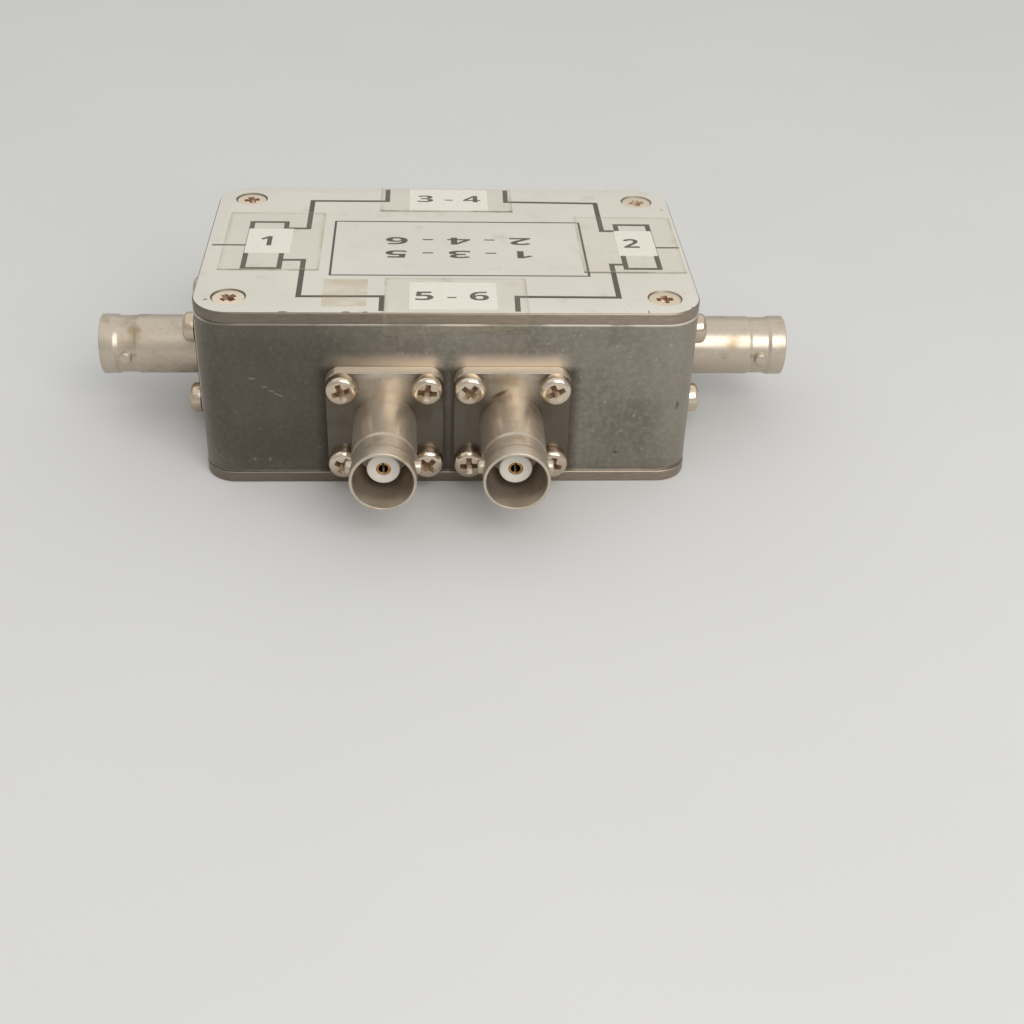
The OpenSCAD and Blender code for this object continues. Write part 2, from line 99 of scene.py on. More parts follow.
def linear(hex_colour):
    """The linear RGBA of an sRGB hex colour."""
    shares = [int(hex_colour[i : i + 2], 16) / 255 for i in (1, 3, 5)]
    return [s / 12.92 if s <= 0.04045 else ((s + 0.055) / 1.055) ** 2.4 for s in shares] + [1.0]


def add(tree, kind, inputs=(), **settings):
    """Adds a node, which is a shader's if its kind is bare. Inputs come by name or in order: nodes and
    sockets are linked, and other values are set."""
    made = tree.nodes.new(kind if "Node" in kind else "ShaderNode" + kind)
    for name, value in settings.items():
        setattr(made, name, value)
    if not isinstance(inputs, dict):
        inputs = dict(enumerate(inputs))
    for name, value in inputs.items():
        if isinstance(value, bpy.types.Node):
            value = next(socket for socket in value.outputs if socket.enabled)
        if isinstance(value, bpy.types.NodeSocket):
            tree.links.new(value, made.inputs[name])
        else:
            is_colour = isinstance(value, str) and value.startswith("#")
            made.inputs[name].default_value = linear(value) if is_colour else value
    return made


def sized(where, size_mm, detail):
    """The inputs of a noise whose patches have a size in mm."""
    return {"Vector": where, "Scale": 1 / (size_mm * MM), "Detail": detail}


def new_finish(name):
    """An empty material, its node tree and the Object coordinates that its patterns follow."""
    material = bpy.data.materials.new(name)
    material.use_nodes = True
    material.node_tree.nodes.clear()
    where = add(material.node_tree, "TexCoord").outputs["Object"]
    return material, material.node_tree, where


def end_finish(tree, colour, *coats, **inputs):
    """Ends a finish: a colour, coats over it, each a share and a hex colour or a node, and the shader."""
    # A Mix node keeps its colours in sockets 6 and 7. Those before them are for numbers and vectors.
    for share, over in coats:
        colour = add(tree, "Mix", {0: share, 6: colour, 7: over}, data_type="RGBA")
    shader = add(tree, "BsdfPrincipled", {"Base Color": colour, **inputs})
    add(tree, "OutputMaterial", {"Surface": shader})


def plain_finish(name, dark, light, grain_mm, roughness, detail=3.0, uneven=0.0, **inputs):
    """A finish of two tones in a grain, with a roughness that may follow it."""
    # The real grain of such a finish is often too fine to show, so it is drawn coarser.
    finish, tree, where = new_finish(name)
    grain = add(tree, "TexNoise", sized(where, grain_mm, detail))
    if uneven:
        ends = [roughness - uneven, roughness + uneven]
        roughness = add(tree, "MapRange", [grain, 0.3, 0.7, *ends])
    end_finish(tree, dark, (grain, light), Roughness=roughness, **inputs)
    return finish


print("the cover's paint in linear light:", [round(c, 3) for c in linear("#D9D6CC")])

# %% [markdown]
# ## Floor, lamps and world
#
# The box stands on a plain pale floor under soft light. Metal is only as bright as what it mirrors: a
# wide dim panel overhead gives every face that looks up an even sheen, and a smaller bright one, above
# the camera's right shoulder, puts the streak along each barrel. Bare bulbs would cast hard shadows.

# %% Floor, lamps and world
FLOOR_SIDE, FLOOR_NEAR, FLOOR_FAR = 12.0, 0.4, 2.0  # in m
ROOM_COLOUR, ROOM_LIGHT = "#E6E5E3", 0.66
floor_mesh = bpy.data.meshes.new("floor")
half = FLOOR_SIDE / 2
floor_mesh.from_pydata(
    [(-half, -half, 0), (half, -half, 0), (half, half, 0), (-half, half, 0)], [], [(0, 1, 2, 3)]
)
floor = new_object("floor", floor_mesh)

floor_finish, tree, where = new_finish("pale_matt_laminate")
cloud = add(tree, "TexNoise", sized(where, 60, 3.0))
away = add(tree, "VectorMath", [where], operation="LENGTH")
# It is lighter far off, where the lamps fade, so that floor and room meet without a dark band.
far_by = add(tree, "MapRange", [away, FLOOR_NEAR, FLOOR_FAR], **SOFT)
end_finish(tree, "#D0D1D1", (cloud, "#D6D7D7"), (far_by, "#F4F4F4"), Roughness=0.8)
floor_mesh.materials.append(floor_finish)

LAMPS = (
    # name, place in mm, aim in mm, width and depth in mm, watts, colour
    ("overhead_panel", (0, 300, 800), (0, 300, 15), (1800, 2000), 4.2, "#FFFCF8"),
    ("front_panel", (210, -490, 440), (0, 0, 15), (520, 420), 2.3, "#FFFCF7"),
)
for name, place, aim, size, watts, colour in LAMPS:
    lamp_data = bpy.data.lights.new(name, "AREA")
    lamp_data.shape = "RECTANGLE"
    lamp_data.size = size[0] * MM
    lamp_data.size_y = size[1] * MM
    lamp_data.energy = watts
    lamp_data.color = linear(colour)[:3]
    lamp = new_object(name, lamp_data)
    lamp.location = Vector(place) * MM
    lamp.rotation_mode = "QUATERNION"
    lamp.rotation_quaternion = (Vector(aim) - Vector(place)).to_track_quat("-Z", "Y")

scene.world = bpy.data.worlds.new("room")
scene.world.use_nodes = True
room = scene.world.node_tree.nodes["Background"]
room.inputs["Color"].default_value = linear(ROOM_COLOUR)
room.inputs["Strength"].default_value = ROOM_LIGHT
scene.view_settings.view_transform = "Standard"
print("lamps:", len(LAMPS), "floor side in m:", FLOOR_SIDE)

# %% [markdown]
# ## Finishes of the case
#
# The case is die-cast aluminium: the skin of a casting is dull, cloudy and finely grained. A photo
# texture would show that too, but a noise pattern needs no file and stays sharp at any size. Its left
# side is painted darker as shade. The cover is sheet with a satin light grey paint, bare at its cut edge.

# %% Finishes of the case
CASE_W, CASE_D, CASE_H = 75.0, 47.0, 29.0
PITCH = 19.0  # the way between two sockets on one wall


def marks(tree, where, ends, *spots, **settings):
    """A share that is strongest in soft spots: ends for a Map Range, then for each spot its centre and
    half sizes in mm, and its turn in degrees if any."""
    strongest = None
    for centre, reach, *turn in spots:
        place = {
            "Vector": where,
            "Location": Vector(centre) * MM,
            "Rotation": [math.radians(d) for d in (turn[0] if turn else (0, 0, 0))],
            "Scale": Vector(reach) * MM,
        }
        local = add(tree, "Mapping", place, vector_type="TEXTURE")
        spot = add(tree, "TexGradient", [local], gradient_type="SPHERICAL").outputs[1]
        if strongest is None:
            strongest = spot
        else:
            strongest = add(tree, "Math", [strongest, spot], operation="MAXIMUM")
    return add(tree, "MapRange", [strongest, *ends], **settings)


# Die-cast aluminium, as it left the mould: a dull grey with cloudy patches, fine grit, sparse bright
# specks and a few scratches. Handling has polished the upper and lower edges, and the top edge also
# carries a painted highlight. The skin just above the front and rear flanges has a painted reflection
# of them, and painted shade lies beside and between them, with two spots of dirt. The left side is
# painted darker as shade, and the right front corner lighter as a painted highlight. Real grit is too
# fine to show here, so it is drawn at 0.7 mm.
cast_aluminium, tree, where = new_finish("die_cast_skin")
clouds = add(tree, "TexNoise", sized(where, 9, 6.0))
grit = add(tree, "TexNoise", sized(where, 0.7, 3.0))
flecks = add(tree, "TexNoise", sized(where, 1.1, 2.5))
spot = add(tree, "SeparateXYZ", [where]).outputs
cloudy_by = add(tree, "MapRange", [clouds, 0.36, 0.66], **SOFT)
grit_by = add(tree, "MapRange", [grit, 0.42, 0.72, 0.0, 0.4])

scratch_by = marks(
    tree,
    where,
    (0.1, 0.6, 0.0, 0.75),
    ((-29.15, -23.5, 18.15), (0.8, 1, 0.26)),
    ((-27.4, -23.5, 16.7), (0.65, 1, 0.24)),
    ((-26.4, -23.5, 16.0), (0.65, 1, 0.24), (0, 8, 0)),
    ((-25.3, -23.5, 15.35), (1.15, 1, 0.24), (0, 26, 0)),
    ((-29.6, -23.5, 4.05), (0.4, 1, 0.3)),
    ((-27.3, -23.5, 4.05), (0.3, 1, 0.45)),
)
specks = add(tree, "MapRange", [flecks, 0.67, 0.79])
light_by = add(tree, "Math", [specks, 0.35, scratch_by], operation="MULTIPLY_ADD")

# The top edge's bright wear line is also a painted highlight.
top_wear_and_highlight = add(tree, "MapRange", [spot[2], 26.8 * MM, 27.1 * MM, 0.0, 1.0])
low_wear = add(tree, "MapRange", [spot[2], 2.2 * MM, 1.95 * MM, 0.0, 0.6])
edge_wear_and_highlight = add(tree, "Math", [top_wear_and_highlight, low_wear], operation="MAXIMUM")
rubbed = add(tree, "MapRange", [clouds, 0.42, 0.52, 0.35, 1.0])
edge_by = add(tree, "Math", [edge_wear_and_highlight, rubbed], operation="MULTIPLY")
bright_by = add(tree, "Math", [light_by, edge_by], operation="MAXIMUM")

# A painted reflection of the flanges' tops on the skin just above them.
width = add(tree, "Math", [spot[0]], operation="ABSOLUTE")
from_port = add(tree, "Math", [width, PITCH / 2 * MM], operation="SUBTRACT")
beside = add(tree, "Math", [from_port], operation="ABSOLUTE")
over_by = add(tree, "MapRange", [beside, 9.4 * MM, 6.6 * MM], **SOFT)
above_by = add(tree, "MapRange", [spot[2], 22.9 * MM, 20.3 * MM, 0.0, 0.9], **SOFT)
painted_reflection_by = add(tree, "Math", [over_by, above_by], operation="MULTIPLY")

# Painted shade beside and between the flanges, below their tops; it joins two real dirt spots.
near_by = add(tree, "MapRange", [beside, 10.6 * MM, 9.0 * MM, 0.0, 0.7])
below_by = add(tree, "MapRange", [spot[2], 20.4 * MM, 19.4 * MM])
painted_gap_shade_by = add(tree, "Math", [near_by, below_by], operation="MULTIPLY")
dirt_by = marks(
    tree,
    where,
    (0.1, 0.7, 0.0, 0.6),
    ((25.86, -23.5, 5.2), (0.6, 1, 0.4), (0, 20, 0)),
    ((34.9, -22.4, 13.2), (0.5, 1, 1.2)),
)
dirt_and_painted_shade_by = add(tree, "Math", [dirt_by, painted_gap_shade_by], operation="MAXIMUM")

# Painted shade over the left side, and a painted highlight at the right front corner.
painted_shade_left_by = marks(tree, where, (0.0, 0.7, 0.0, 0.72), ((-26, -23.5, 15), (25, 8, 27)), **SOFT)
painted_highlight_corner_by = marks(tree, where, (0.05, 0.6, 0.0, 0.4), ((37, -22, 14), (7.5, 8, 26)))
bare = add(tree, "MapRange", {0: edge_by, 3: 1.0, 4: 0.45})
dull = add(tree, "MapRange", [clouds, 0.3, 0.7, 0.32, 0.44])
grain = add(tree, "Bump", {"Height": grit, "Strength": 0.3, "Distance": 0.04 * MM})
end_finish(
    tree,
    "#817B71",
    (cloudy_by, "#908A80"),
    (grit_by, "#ACA59A"),
    (bright_by, "#E2DACC"),  # specks, scratches and worn edges, the top edge with a painted highlight
    (painted_reflection_by, "#EADBCA"),  # painted reflection of the flanges, just above them
    (painted_shade_left_by, "#524D44"),  # painted shade: darker at the left
    (painted_highlight_corner_by, "#B4AB9D"),  # painted highlight at the right front corner
    # dirt spots, and painted shade beside and between the flanges
    (dirt_and_painted_shade_by, "#3A342D"),
    Metallic=bare,
    Roughness=dull,
    Normal=grain,
)

# Satin stoving paint on sheet aluminium: light warm grey with a very fine orange-peel skin and faint
# smudges, chipped to the metal at a few places along its edges.
lid_paint, tree, where = new_finish("satin_grey_paint")
clouds = add(tree, "TexNoise", sized(where, 11, 4.0))
peel = add(tree, "TexNoise", sized(where, 0.5, 1.0))
smears = add(tree, "TexNoise", sized(where, 3.5, 5.0))
smear_by = add(tree, "MapRange", [smears, 0.58, 0.78, 0.0, 0.3], **SOFT)
chip_by = marks(
    tree,
    where,
    (0.15, 0.4, 0.0, 0.85),
    ((-35.5, -19.3, CASE_H), (0.5, 0.35, 1), (0, 0, 25)),
    ((-24, -23.2, CASE_H), (0.9, 0.3, 1)),
    ((-14.9, -23.2, CASE_H), (0.8, 0.28, 1)),
    ((-12.1, -23.2, CASE_H), (0.5, 0.22, 1)),
    ((29.3, -22.9, CASE_H), (0.16, 0.7, 1)),
    ((36.2, 14.9, CASE_H), (0.35, 0.28, 1)),
    ((36.1, -21.45, CASE_H), (0.45, 0.45, 1)),
)
ripple = add(tree, "Bump", {"Height": peel, "Strength": 0.12, "Distance": 0.02 * MM})
paints = (clouds, "#D9D6CC"), (smear_by, "#A59D8D"), (chip_by, "#6F675B")
end_finish(tree, "#CDC9BE", *paints, Roughness=0.45, Normal=ripple)

# Sheet aluminium, sheared and left bare: fine streaks along the cut, and painted light that makes it
# lighter to the right.
bare_sheet, tree, where = new_finish("bare_sheet_aluminium")
stretched = add(tree, "Mapping", {"Vector": where, "Scale": (1.0, 1.0, 6.0)})
streaks = add(tree, "TexNoise", sized(stretched, 1.5, 3.0))
from_left = add(tree, "SeparateXYZ", [where]).outputs[0]
# Painted light: lighter towards the right.
painted_light_right_by = add(tree, "MapRange", [from_left, -22 * MM, 26 * MM], **SOFT)
lighter_right_tone = add(tree, "Mix", {0: streaks, 6: "#877C70", 7: "#B2A697"}, data_type="RGBA")
dull = add(tree, "MapRange", [streaks, 0.3, 0.7, 0.36, 0.5])
end_finish(tree, "#71685D", (streaks, "#958B7E"), (painted_light_right_by, lighter_right_tone), Metallic=1.0, Roughness=dull)
print("case finishes:", cast_aluminium.name, lid_paint.name, bare_sheet.name)

# %% [markdown]
# ## The cast frame
#
# The frame is one casting: four walls, a post in each corner for the cover screws, and standoffs for
# the board. The CAD shape is right but for two things: its upright corners are a little too wide, and
# its edges are perfectly sharp. A copy has its loose triangles merged and its corners drawn tighter,
# and a Bevel that follows an edge weight rounds only the outer top and bottom edges.

# %% The cast frame
EDGE_ROUND = 0.22
SOLID_CORNER, CAST_CORNER = 6.5, 5.3  # radius of the upright corners in the solid, and here
FLAT, SHARP = math.radians(0.4), math.radians(60)
OUTER = 12  # a wall's face is an outer one if it is further than this from the middle, in mm
NEAR = 0.02  # a point this near to a corner's arc, in mm, lies on it


def settle(obj):
    """Turns what an object's modifiers make into its own plain mesh."""
    now = obj.evaluated_get(bpy.context.evaluated_depsgraph_get())
    mesh = bpy.data.meshes.new_from_object(now)
    mesh.name = obj.name
    obj.modifiers.clear()
    obj.data = mesh
    return obj


def smooth(obj, degrees=32):
    """Shades an object smooth, with crisp edges where faces meet at more than an angle."""
    obj.data.shade_smooth()
    obj.data.set_sharp_from_angle(angle=math.radians(degrees))
    return obj


def hand_over(obj, finish, slot, *nodes):
    """Gives a finished piece its material, its body and the CAD nodes that it stands for."""
    if finish is not None:
        obj.data.materials.clear()
        obj.data.materials.append(finish)
    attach(obj, "root")
    if nodes:
        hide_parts(*nodes)
    print(obj.name, "has", len(obj.data.polygons), "faces")


cast = new_object("case_frame_cast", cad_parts["case_frame"].data.copy())
work = bmesh.new()
work.from_mesh(cast.data)
bmesh.ops.remove_doubles(work, verts=work.verts, dist=1e-7)
bmesh.ops.dissolve_limit(work, angle_limit=FLAT, verts=work.verts[:], edges=work.edges[:])
low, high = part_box("case_frame")
tighter = CAST_CORNER / SOLID_CORNER
for vert in work.verts:
    out_x = abs(vert.co.x) - (high.x - SOLID_CORNER * MM)
    out_y = abs(vert.co.y) - (high.y - SOLID_CORNER * MM)
    on_arc = abs(math.hypot(out_x, out_y) - SOLID_CORNER * MM) < NEAR * MM
    if on_arc and min(out_x, out_y) > -NEAR / 2 * MM:
        vert.co.x = math.copysign(high.x - CAST_CORNER * MM + out_x * tighter, vert.co.x)
        vert.co.y = math.copysign(high.y - CAST_CORNER * MM + out_y * tighter, vert.co.y)
weights = work.edges.layers.float.new("bevel_weight_edge")
rounded_edges = 0
for edge in work.edges:
    if len(edge.link_faces) != 2 or edge.calc_face_angle() < SHARP:
        continue
    on_end = any(all(abs(v.co.z - end) < 1e-6 for v in edge.verts) for end in (low.z, high.z))
    side = [f for f in edge.link_faces if abs(f.normal.z) < 0.5]
    if on_end and side and side[0].normal.dot(side[0].calc_center_median()) > OUTER * MM:
        edge[weights] = 1.0
        rounded_edges += 1
work.to_mesh(cast.data)
work.free()
bevel = cast.modifiers.new("round_edges", "BEVEL")
bevel.limit_method = "WEIGHT"
bevel.width = EDGE_ROUND * MM
bevel.segments = 3
smooth(settle(cast), 25)
hand_over(cast, cast_aluminium, "cast_aluminium", "case_frame")
print("edges rounded:", rounded_edges)

# %% [markdown]
# ## Turning and stamping
#
# Most pieces here are turned on a lathe or stamped from sheet, so two builders cover them: one spins
# an outline round Z, and one stacks rounded rectangles. A fillet helper rounds an outline's corners
# first, because a sharp edge catches no light and is what makes a model look unreal.

# %% Turning and stamping


def rounded(corners, steps, closed=False):
    """The points of an outline whose corners, each (u, v, radius), are rounded off."""
    points = []
    last = len(corners) - 1
    for i, (u, v, radius) in enumerate(corners):
        here = Vector((u, v))
        if not radius or (not closed and i in (0, last)):
            points.append((u, v))
            continue
        back = (Vector(corners[i - 1][:2]) - here).normalized()
        on = (Vector(corners[(i + 1) % len(corners)][:2]) - here).normalized()
        half_angle = back.angle(on) / 2
        middle = here + (back + on).normalized() * (radius / math.sin(half_angle))
        start = here + back * (radius / math.tan(half_angle)) - middle
        end = here + on * (radius / math.tan(half_angle)) - middle
        sweep = math.atan2(start.x * end.y - start.y * end.x, start.dot(end))
        for k in range(steps + 1):
            c, s = math.cos(sweep * k / steps), math.sin(sweep * k / steps)
            points.append((middle.x + start.x * c - start.y * s, middle.y + start.x * s + start.y * c))
    return points


def lathe(outline, sides):
    """Points in mm and faces of a closed outline of (radius, height) spun round Z."""
    points, rings, faces = [], [], []
    for radius, height in outline:
        count = sides if radius > 1e-6 else 1
        rings.append([len(points) + k for k in range(count)])
        for k in range(count):
            angle = 2 * math.pi * k / sides
            points.append((radius * math.cos(angle), radius * math.sin(angle), height))
    for low, high in zip(rings, rings[1:] + rings[:1]):
        if len(low) + len(high) == 2:
            continue
        for k in range(sides):
            n = (k + 1) % sides
            ring = [low[k % len(low)], low[n % len(low)], high[n % len(high)], high[k % len(high)]]
            faces.append(list(dict.fromkeys(ring)))
    return points, faces


def slab(width, depth, corner, layers, steps):
    """Points in mm and faces of rounded rectangles stacked as (inset, height) layers."""
    points, faces = [], []
    for inset, height in layers:
        w, d, r = width / 2 - inset, depth / 2 - inset, max(corner - inset, 0.01)
        ring = rounded([(w, -d, r), (w, d, r), (-w, d, r), (-w, -d, r)], steps, closed=True)
        points += [(x, y, height) for x, y in ring]
    count = len(points) // len(layers)
    for layer in range(len(layers) - 1):
        for k in range(count):
            n = (k + 1) % count
            low, high = layer * count, (layer + 1) * count
            faces.append([low + k, low + n, high + n, high + k])
    faces.append(list(range(count))[::-1])
    faces.append(list(range(len(points) - count, len(points))))
    return points, faces


def make(name, shape):
    """An object from points in mm and faces, with its normals outwards."""
    points, faces = shape
    mesh = bpy.data.meshes.new(name)
    mesh.from_pydata([Vector(p) * MM for p in points], [], faces)
    work = bmesh.new()
    work.from_mesh(mesh)
    bmesh.ops.recalc_face_normals(work, faces=work.faces)
    work.to_mesh(mesh)
    work.free()
    return new_object(name, mesh)


def cut(obj, tool, operation="DIFFERENCE"):
    """Cuts a tool's shape out of an object, or joins it on, and deletes the tool."""
    step = obj.modifiers.new("cut", "BOOLEAN")
    step.operation = operation
    step.solver = "EXACT"
    step.object = tool
    settle(obj)
    bpy.data.objects.remove(tool)
    return obj


def gather(shapes):
    """Joins several shapes, each points and faces, into one."""
    points, faces = [], []
    for more_points, more_faces in shapes:
        base = len(points)
        points += list(more_points)
        faces += [[base + i for i in face] for face in more_faces]
    return points, faces


def moved(shape, place):
    """A shape with its points moved by a matrix in mm."""
    return [tuple(place @ Vector(p)) for p in shape[0]], shape[1]


disc = lathe([(0, 0), (1, 0), (1, 1), (0, 1)], 32)
print("a turned disc has", len(disc[0]), "points and", len(disc[1]), "faces")

# %% [markdown]
# ## The covers
#
# Each cover is a stamped plate with rounded corners and four countersunk holes. Stacking rounded
# rectangles gives the plate its soft upper edge, and one cutter with four cones makes the holes. The
# painted cover then gets two materials: paint on its face, and bare metal where it was cut.

# %% The covers
COVER_T = 1.8
BASE_W, BASE_D, BASE_R, BASE_EDGE = 74.9, 47.5, 4.9, 0.25
LID_W, LID_D, LID_R, LID_EDGE = 75.2, 47.0, 5.8, 0.3
SCREW_X, SCREW_Y = 32.3, 18.3  # where the screws stand
SINK_R, PLAIN_R, CONE_LOW = 2.62, 1.4, -3
PAST = 1  # how far a cutter reaches past what it cuts, in mm


def four(x, y, z=0):
    """Four places in mm, one in each corner of a rectangle round the middle."""
    return [(i * x, j * y, z) for i in (-1, 1) for j in (-1, 1)]


def at_four(shape, x, y):
    """A shape at four places, as one shape."""
    return gather([moved(shape, Matrix.Translation(place)) for place in four(x, y)])


def cover(name, width, depth, corner, edge):
    """A plate with its outer face at z = 0 and countersunk holes for its screws."""
    arc = [(edge * (1 - math.sin(a)), -edge * (1 - math.cos(a))) for a in (0, 0.4, 0.8, 1.2, math.pi / 2)]
    layers = [(0.1, -COVER_T), (0, -COVER_T + 0.1)] + arc[::-1]
    plate = make(name, slab(width, depth, corner, layers, 12))
    hole = [(0, CONE_LOW), (PLAIN_R, CONE_LOW), (PLAIN_R, PLAIN_R - SINK_R)]
    sink = [(SINK_R, 0), (SINK_R + PAST, PAST), (0, PAST)]
    return cut(plate, make("cones", at_four(lathe(hole + sink, 64), SCREW_X, SCREW_Y)))


lid = cover("top_cover_plate", LID_W, LID_D, LID_R, LID_EDGE)
lid.data.transform(Matrix.Translation((0, 0, CASE_H * MM)))
lid.data.materials.append(lid_paint)
lid.data.materials.append(bare_sheet)
for face in lid.data.polygons:
    face.material_index = 0 if face.normal.z > 0.9 else 1
hand_over(smooth(lid), None, "lid_paint", "top_cover")

base = cover("bottom_cover_plate", BASE_W, BASE_D, BASE_R, BASE_EDGE)
base.data.transform(Matrix.Rotation(math.pi, 4, "X"))
hand_over(smooth(base), bare_sheet, "cover_aluminium", "bottom_cover")

# %% [markdown]
# ## Finishes of the sockets and screws
#
# The socket bodies are brass, turned and nickel plated. Old nickel goes warm and cloudy, with brown
# tarnish where fingers touch it. The screws are newer and brighter, and rust gathers in their
# recesses, so their finish reads an attribute that the screws' node tree will store.

# %% Finishes of the sockets and screws

# Satin nickel plate on turned brass: a warm grey metal with cloudy tarnish. The flange's flat face, which
# the attribute "plate" marks, is smoother, has painted shade that darkens it away from its upper middle,
# and is browned at one spot. Its top edge, which its own attribute marks, is rough and carries a painted
# highlight, and the mouth is darkened with painted shade. The plate's own grain is too fine to show, so its
# tone varies over 0.6 mm.
nickel, tree, where = new_finish("satin_nickel_plate")
clouds = add(tree, "TexNoise", sized(where, 4, 5.0))
fine = add(tree, "TexNoise", sized(where, 0.6, 3.0))
plate, sawn = (add(tree, "Attribute", attribute_name=n).outputs["Fac"] for n in ("plate", "sawn"))
own = add(tree, "Attribute", attribute_name="own").outputs["Vector"]
tarnish_by = add(tree, "MapRange", [clouds, 0.52, 0.75], **SOFT)
# Painted shade on the flange's face, darker away from its upper middle.
painted_shade_spread = marks(tree, own, (0.1, 0.7, 0.88, 0.1), ((0, 6.5, 2), (6.5, 6, 6)), **SOFT)
dirt_and_painted_shade_by = add(tree, "Math", [plate, painted_shade_spread], operation="MULTIPLY")
across = add(tree, "VectorMath", [own, (1, 1, 0)], operation="MULTIPLY")
from_axis = add(tree, "VectorMath", [across], operation="LENGTH")
# Painted shade inside the socket's mouth.
mouth_shade_by = add(tree, "MapRange", [from_axis, 4.42 * MM, 4.25 * MM, 0.0, 0.32])
burn_by = marks(tree, where, (0.1, 0.7, 0.0, 0.8), ((7.6, -25.5, 16.65), (1.9, 0.9, 0.5), (0, -29, 0)))
cloudy = add(tree, "MapRange", [clouds, 0.3, 0.7, 0.28, 0.38])
smoother = add(tree, "Math", [plate, -0.08, cloudy], operation="MULTIPLY_ADD")
dull = add(tree, "Math", [sawn, 0.18, smoother], operation="MULTIPLY_ADD")
haze = add(tree, "MapRange", {0: sawn, 3: 0.75, 4: 0.4})
scuff = add(tree, "Bump", {"Height": fine, "Strength": 0.08, "Distance": 0.02 * MM})
end_finish(
    tree,
    "#BCB09F",
    (fine, "#D1C6B7"),
    (tarnish_by, "#A8977E"),
    # painted shade on the flange's face
    (dirt_and_painted_shade_by, "#4C443B"),
    # painted shade inside the mouth
    (mouth_shade_by, "#54473A"),
    (burn_by, "#5E3522"),
    # painted highlight on the flange's top edge, which is also rough
    (sawn, "#D3C6B3"),
    Metallic=haze,
    Roughness=dull,
    Normal=scuff,
)

# Nickel on steel screws, faintly pink: bright on the pan heads, dulled on the countersunk heads, whose
# crosses have gone rusty, palest on the newest at the rear right. The screws' own attributes say how
# rusty and how light each one is.
screw_finishes = []
for name, dark, light, polish, metallic in (
    ("bright_nickel_screw", "#CDBDA8", "#DDCFBD", 0.16, 1.0),
    ("dulled_nickel_screw", "#E2D2BA", "#EFE2CD", 0.32, 0.55),
):
    finish, tree, where = new_finish(name)
    rust, tone = (add(tree, "Attribute", attribute_name=n).outputs["Fac"] for n in ("rust", "tone"))
    smear = add(tree, "TexNoise", sized(where, 0.9, 4.0))
    patchy = add(tree, "Math", [rust, smear], operation="MULTIPLY")
    rust_by = add(tree, "MapRange", [patchy, 0.02, 0.14], **SOFT)
    pale_by = marks(tree, where, (0.0, 0.2), ((SCREW_X, SCREW_Y, CASE_H), (4, 4, 4)))
    rust_tone = add(tree, "Mix", {0: pale_by, 6: "#7F553F", 7: "#A8937A"}, data_type="RGBA")
    bare = add(tree, "MapRange", {0: rust_by, 3: metallic, 4: 0.1})
    spread = add(tree, "MapRange", [smear, 0.3, 0.7, polish, polish + 0.08])
    dull = add(tree, "Math", [rust_by, 0.3, spread], operation="MULTIPLY_ADD")
    end_finish(tree, dark, (tone, light), (rust_by, rust_tone), Metallic=bare, Roughness=dull)
    screw_finishes.append(finish)
bright_nickel, dulled_nickel = screw_finishes

# PTFE, turned from rod, is a dense soft white. The gold plate on a spring contact is a warm yellow,
# browned where plugs have rubbed it.
ptfe = plain_finish("turned_ptfe", "#DCD5CB", "#EAE5DD", 1.2, 0.5, IOR=1.38)
gold_plate = plain_finish("worn_gold_plate", "#96622C", "#DDAF68", 0.8, 0.22, Metallic=1.0)
print("socket finishes:", nickel.name, bright_nickel.name, ptfe.name, gold_plate.name)

# %% [markdown]
# ## One socket, made once
#
# A socket body is turned from bar: a spigot that passes through the wall, a barrel, a groove with two
# lugs for the plug's collar, and a stepped bore. The outline is spun on the lathe, and the square
# flange and the lugs are joined on. Modelling one with care and repeating it beats six rough ones.

# %% One socket, made once
FLANGE_W, FLANGE_T, FLANGE_R, FLANGE_SCREW = 17.5, 2.0, 2.2, 6.35
WAY_R = 3.6  # the way for the barrel's bore through the flange
BARREL_R, GROOVE_R, RIM_R, MOUTH_R, BORE_R = 4.75, 4.6, 4.825, 4.15, 3.9
SOCKET_LEN, MOUTH_Z, BORE_Z = 18.1, 14.6, 9.7
LUG_R, LUG_Z, LUG_ROOT, LUG_TOP = 1, 13.9, 4.38, 5.5
CONTACT_R, CONTACT_END, SLIT_W, SLIT_Z = 1.03, 14.45, 0.3, 10.45
SAWN_Y = 8.2  # the flange's top edge lies above this, in mm

# Each outline is a list of radius, height and rounding in mm.
BODY_OUTLINE = [
    (3.02, -3.8, 0),
    (4.3, -3.8, 0.15),
    (4.3, 0.6, 0),
    (BARREL_R, 0.6, 0),
    (BARREL_R, 12.1, 0.5),
    (GROOVE_R, 12.6, 0.5),
    (GROOVE_R, 15.2, 0.5),
    (RIM_R, 15.75, 0.5),
    (RIM_R, SOCKET_LEN, 0.16),
    (MOUTH_R + 0.24, SOCKET_LEN, 0.1),
    (MOUTH_R, MOUTH_Z + 0.9, 1.2),
    (BORE_R, MOUTH_Z - 1.2, 1.2),
    (BORE_R, BORE_Z, 0.2),
    (2.42, BORE_Z, 0.1),
    (2.42, 1, 0),
    (3.02, 1, 0),
]
INSULATOR_OUTLINE = [
    (0.67, -4.6, 0),
    (3.0, -4.6, 0.15),
    (3.0, 1.0, 0),
    (2.4, 1.0, 0),
    (2.4, MOUTH_Z, 0.22),
    (1.05, MOUTH_Z, 0.12),
    (1.05, 2.0, 0),
    (0.67, 2.0, 0),
]
CONTACT_OUTLINE = [
    (0, -9.6, 0),
    (0.65, -9.6, 0.12),
    (0.65, 2.0, 0),
    (CONTACT_R, 2.0, 0.1),
    (CONTACT_R, CONTACT_END, 0.15),
    (0.68, CONTACT_END, 0.12),
    (0.68, 9.45, 0),
    (0, 9.3, 0),
]


def turned(name, outline, steps, sides):
    """An object spun from an outline of radius, height and rounding in mm."""
    return make(name, lathe(rounded(outline, steps), sides))


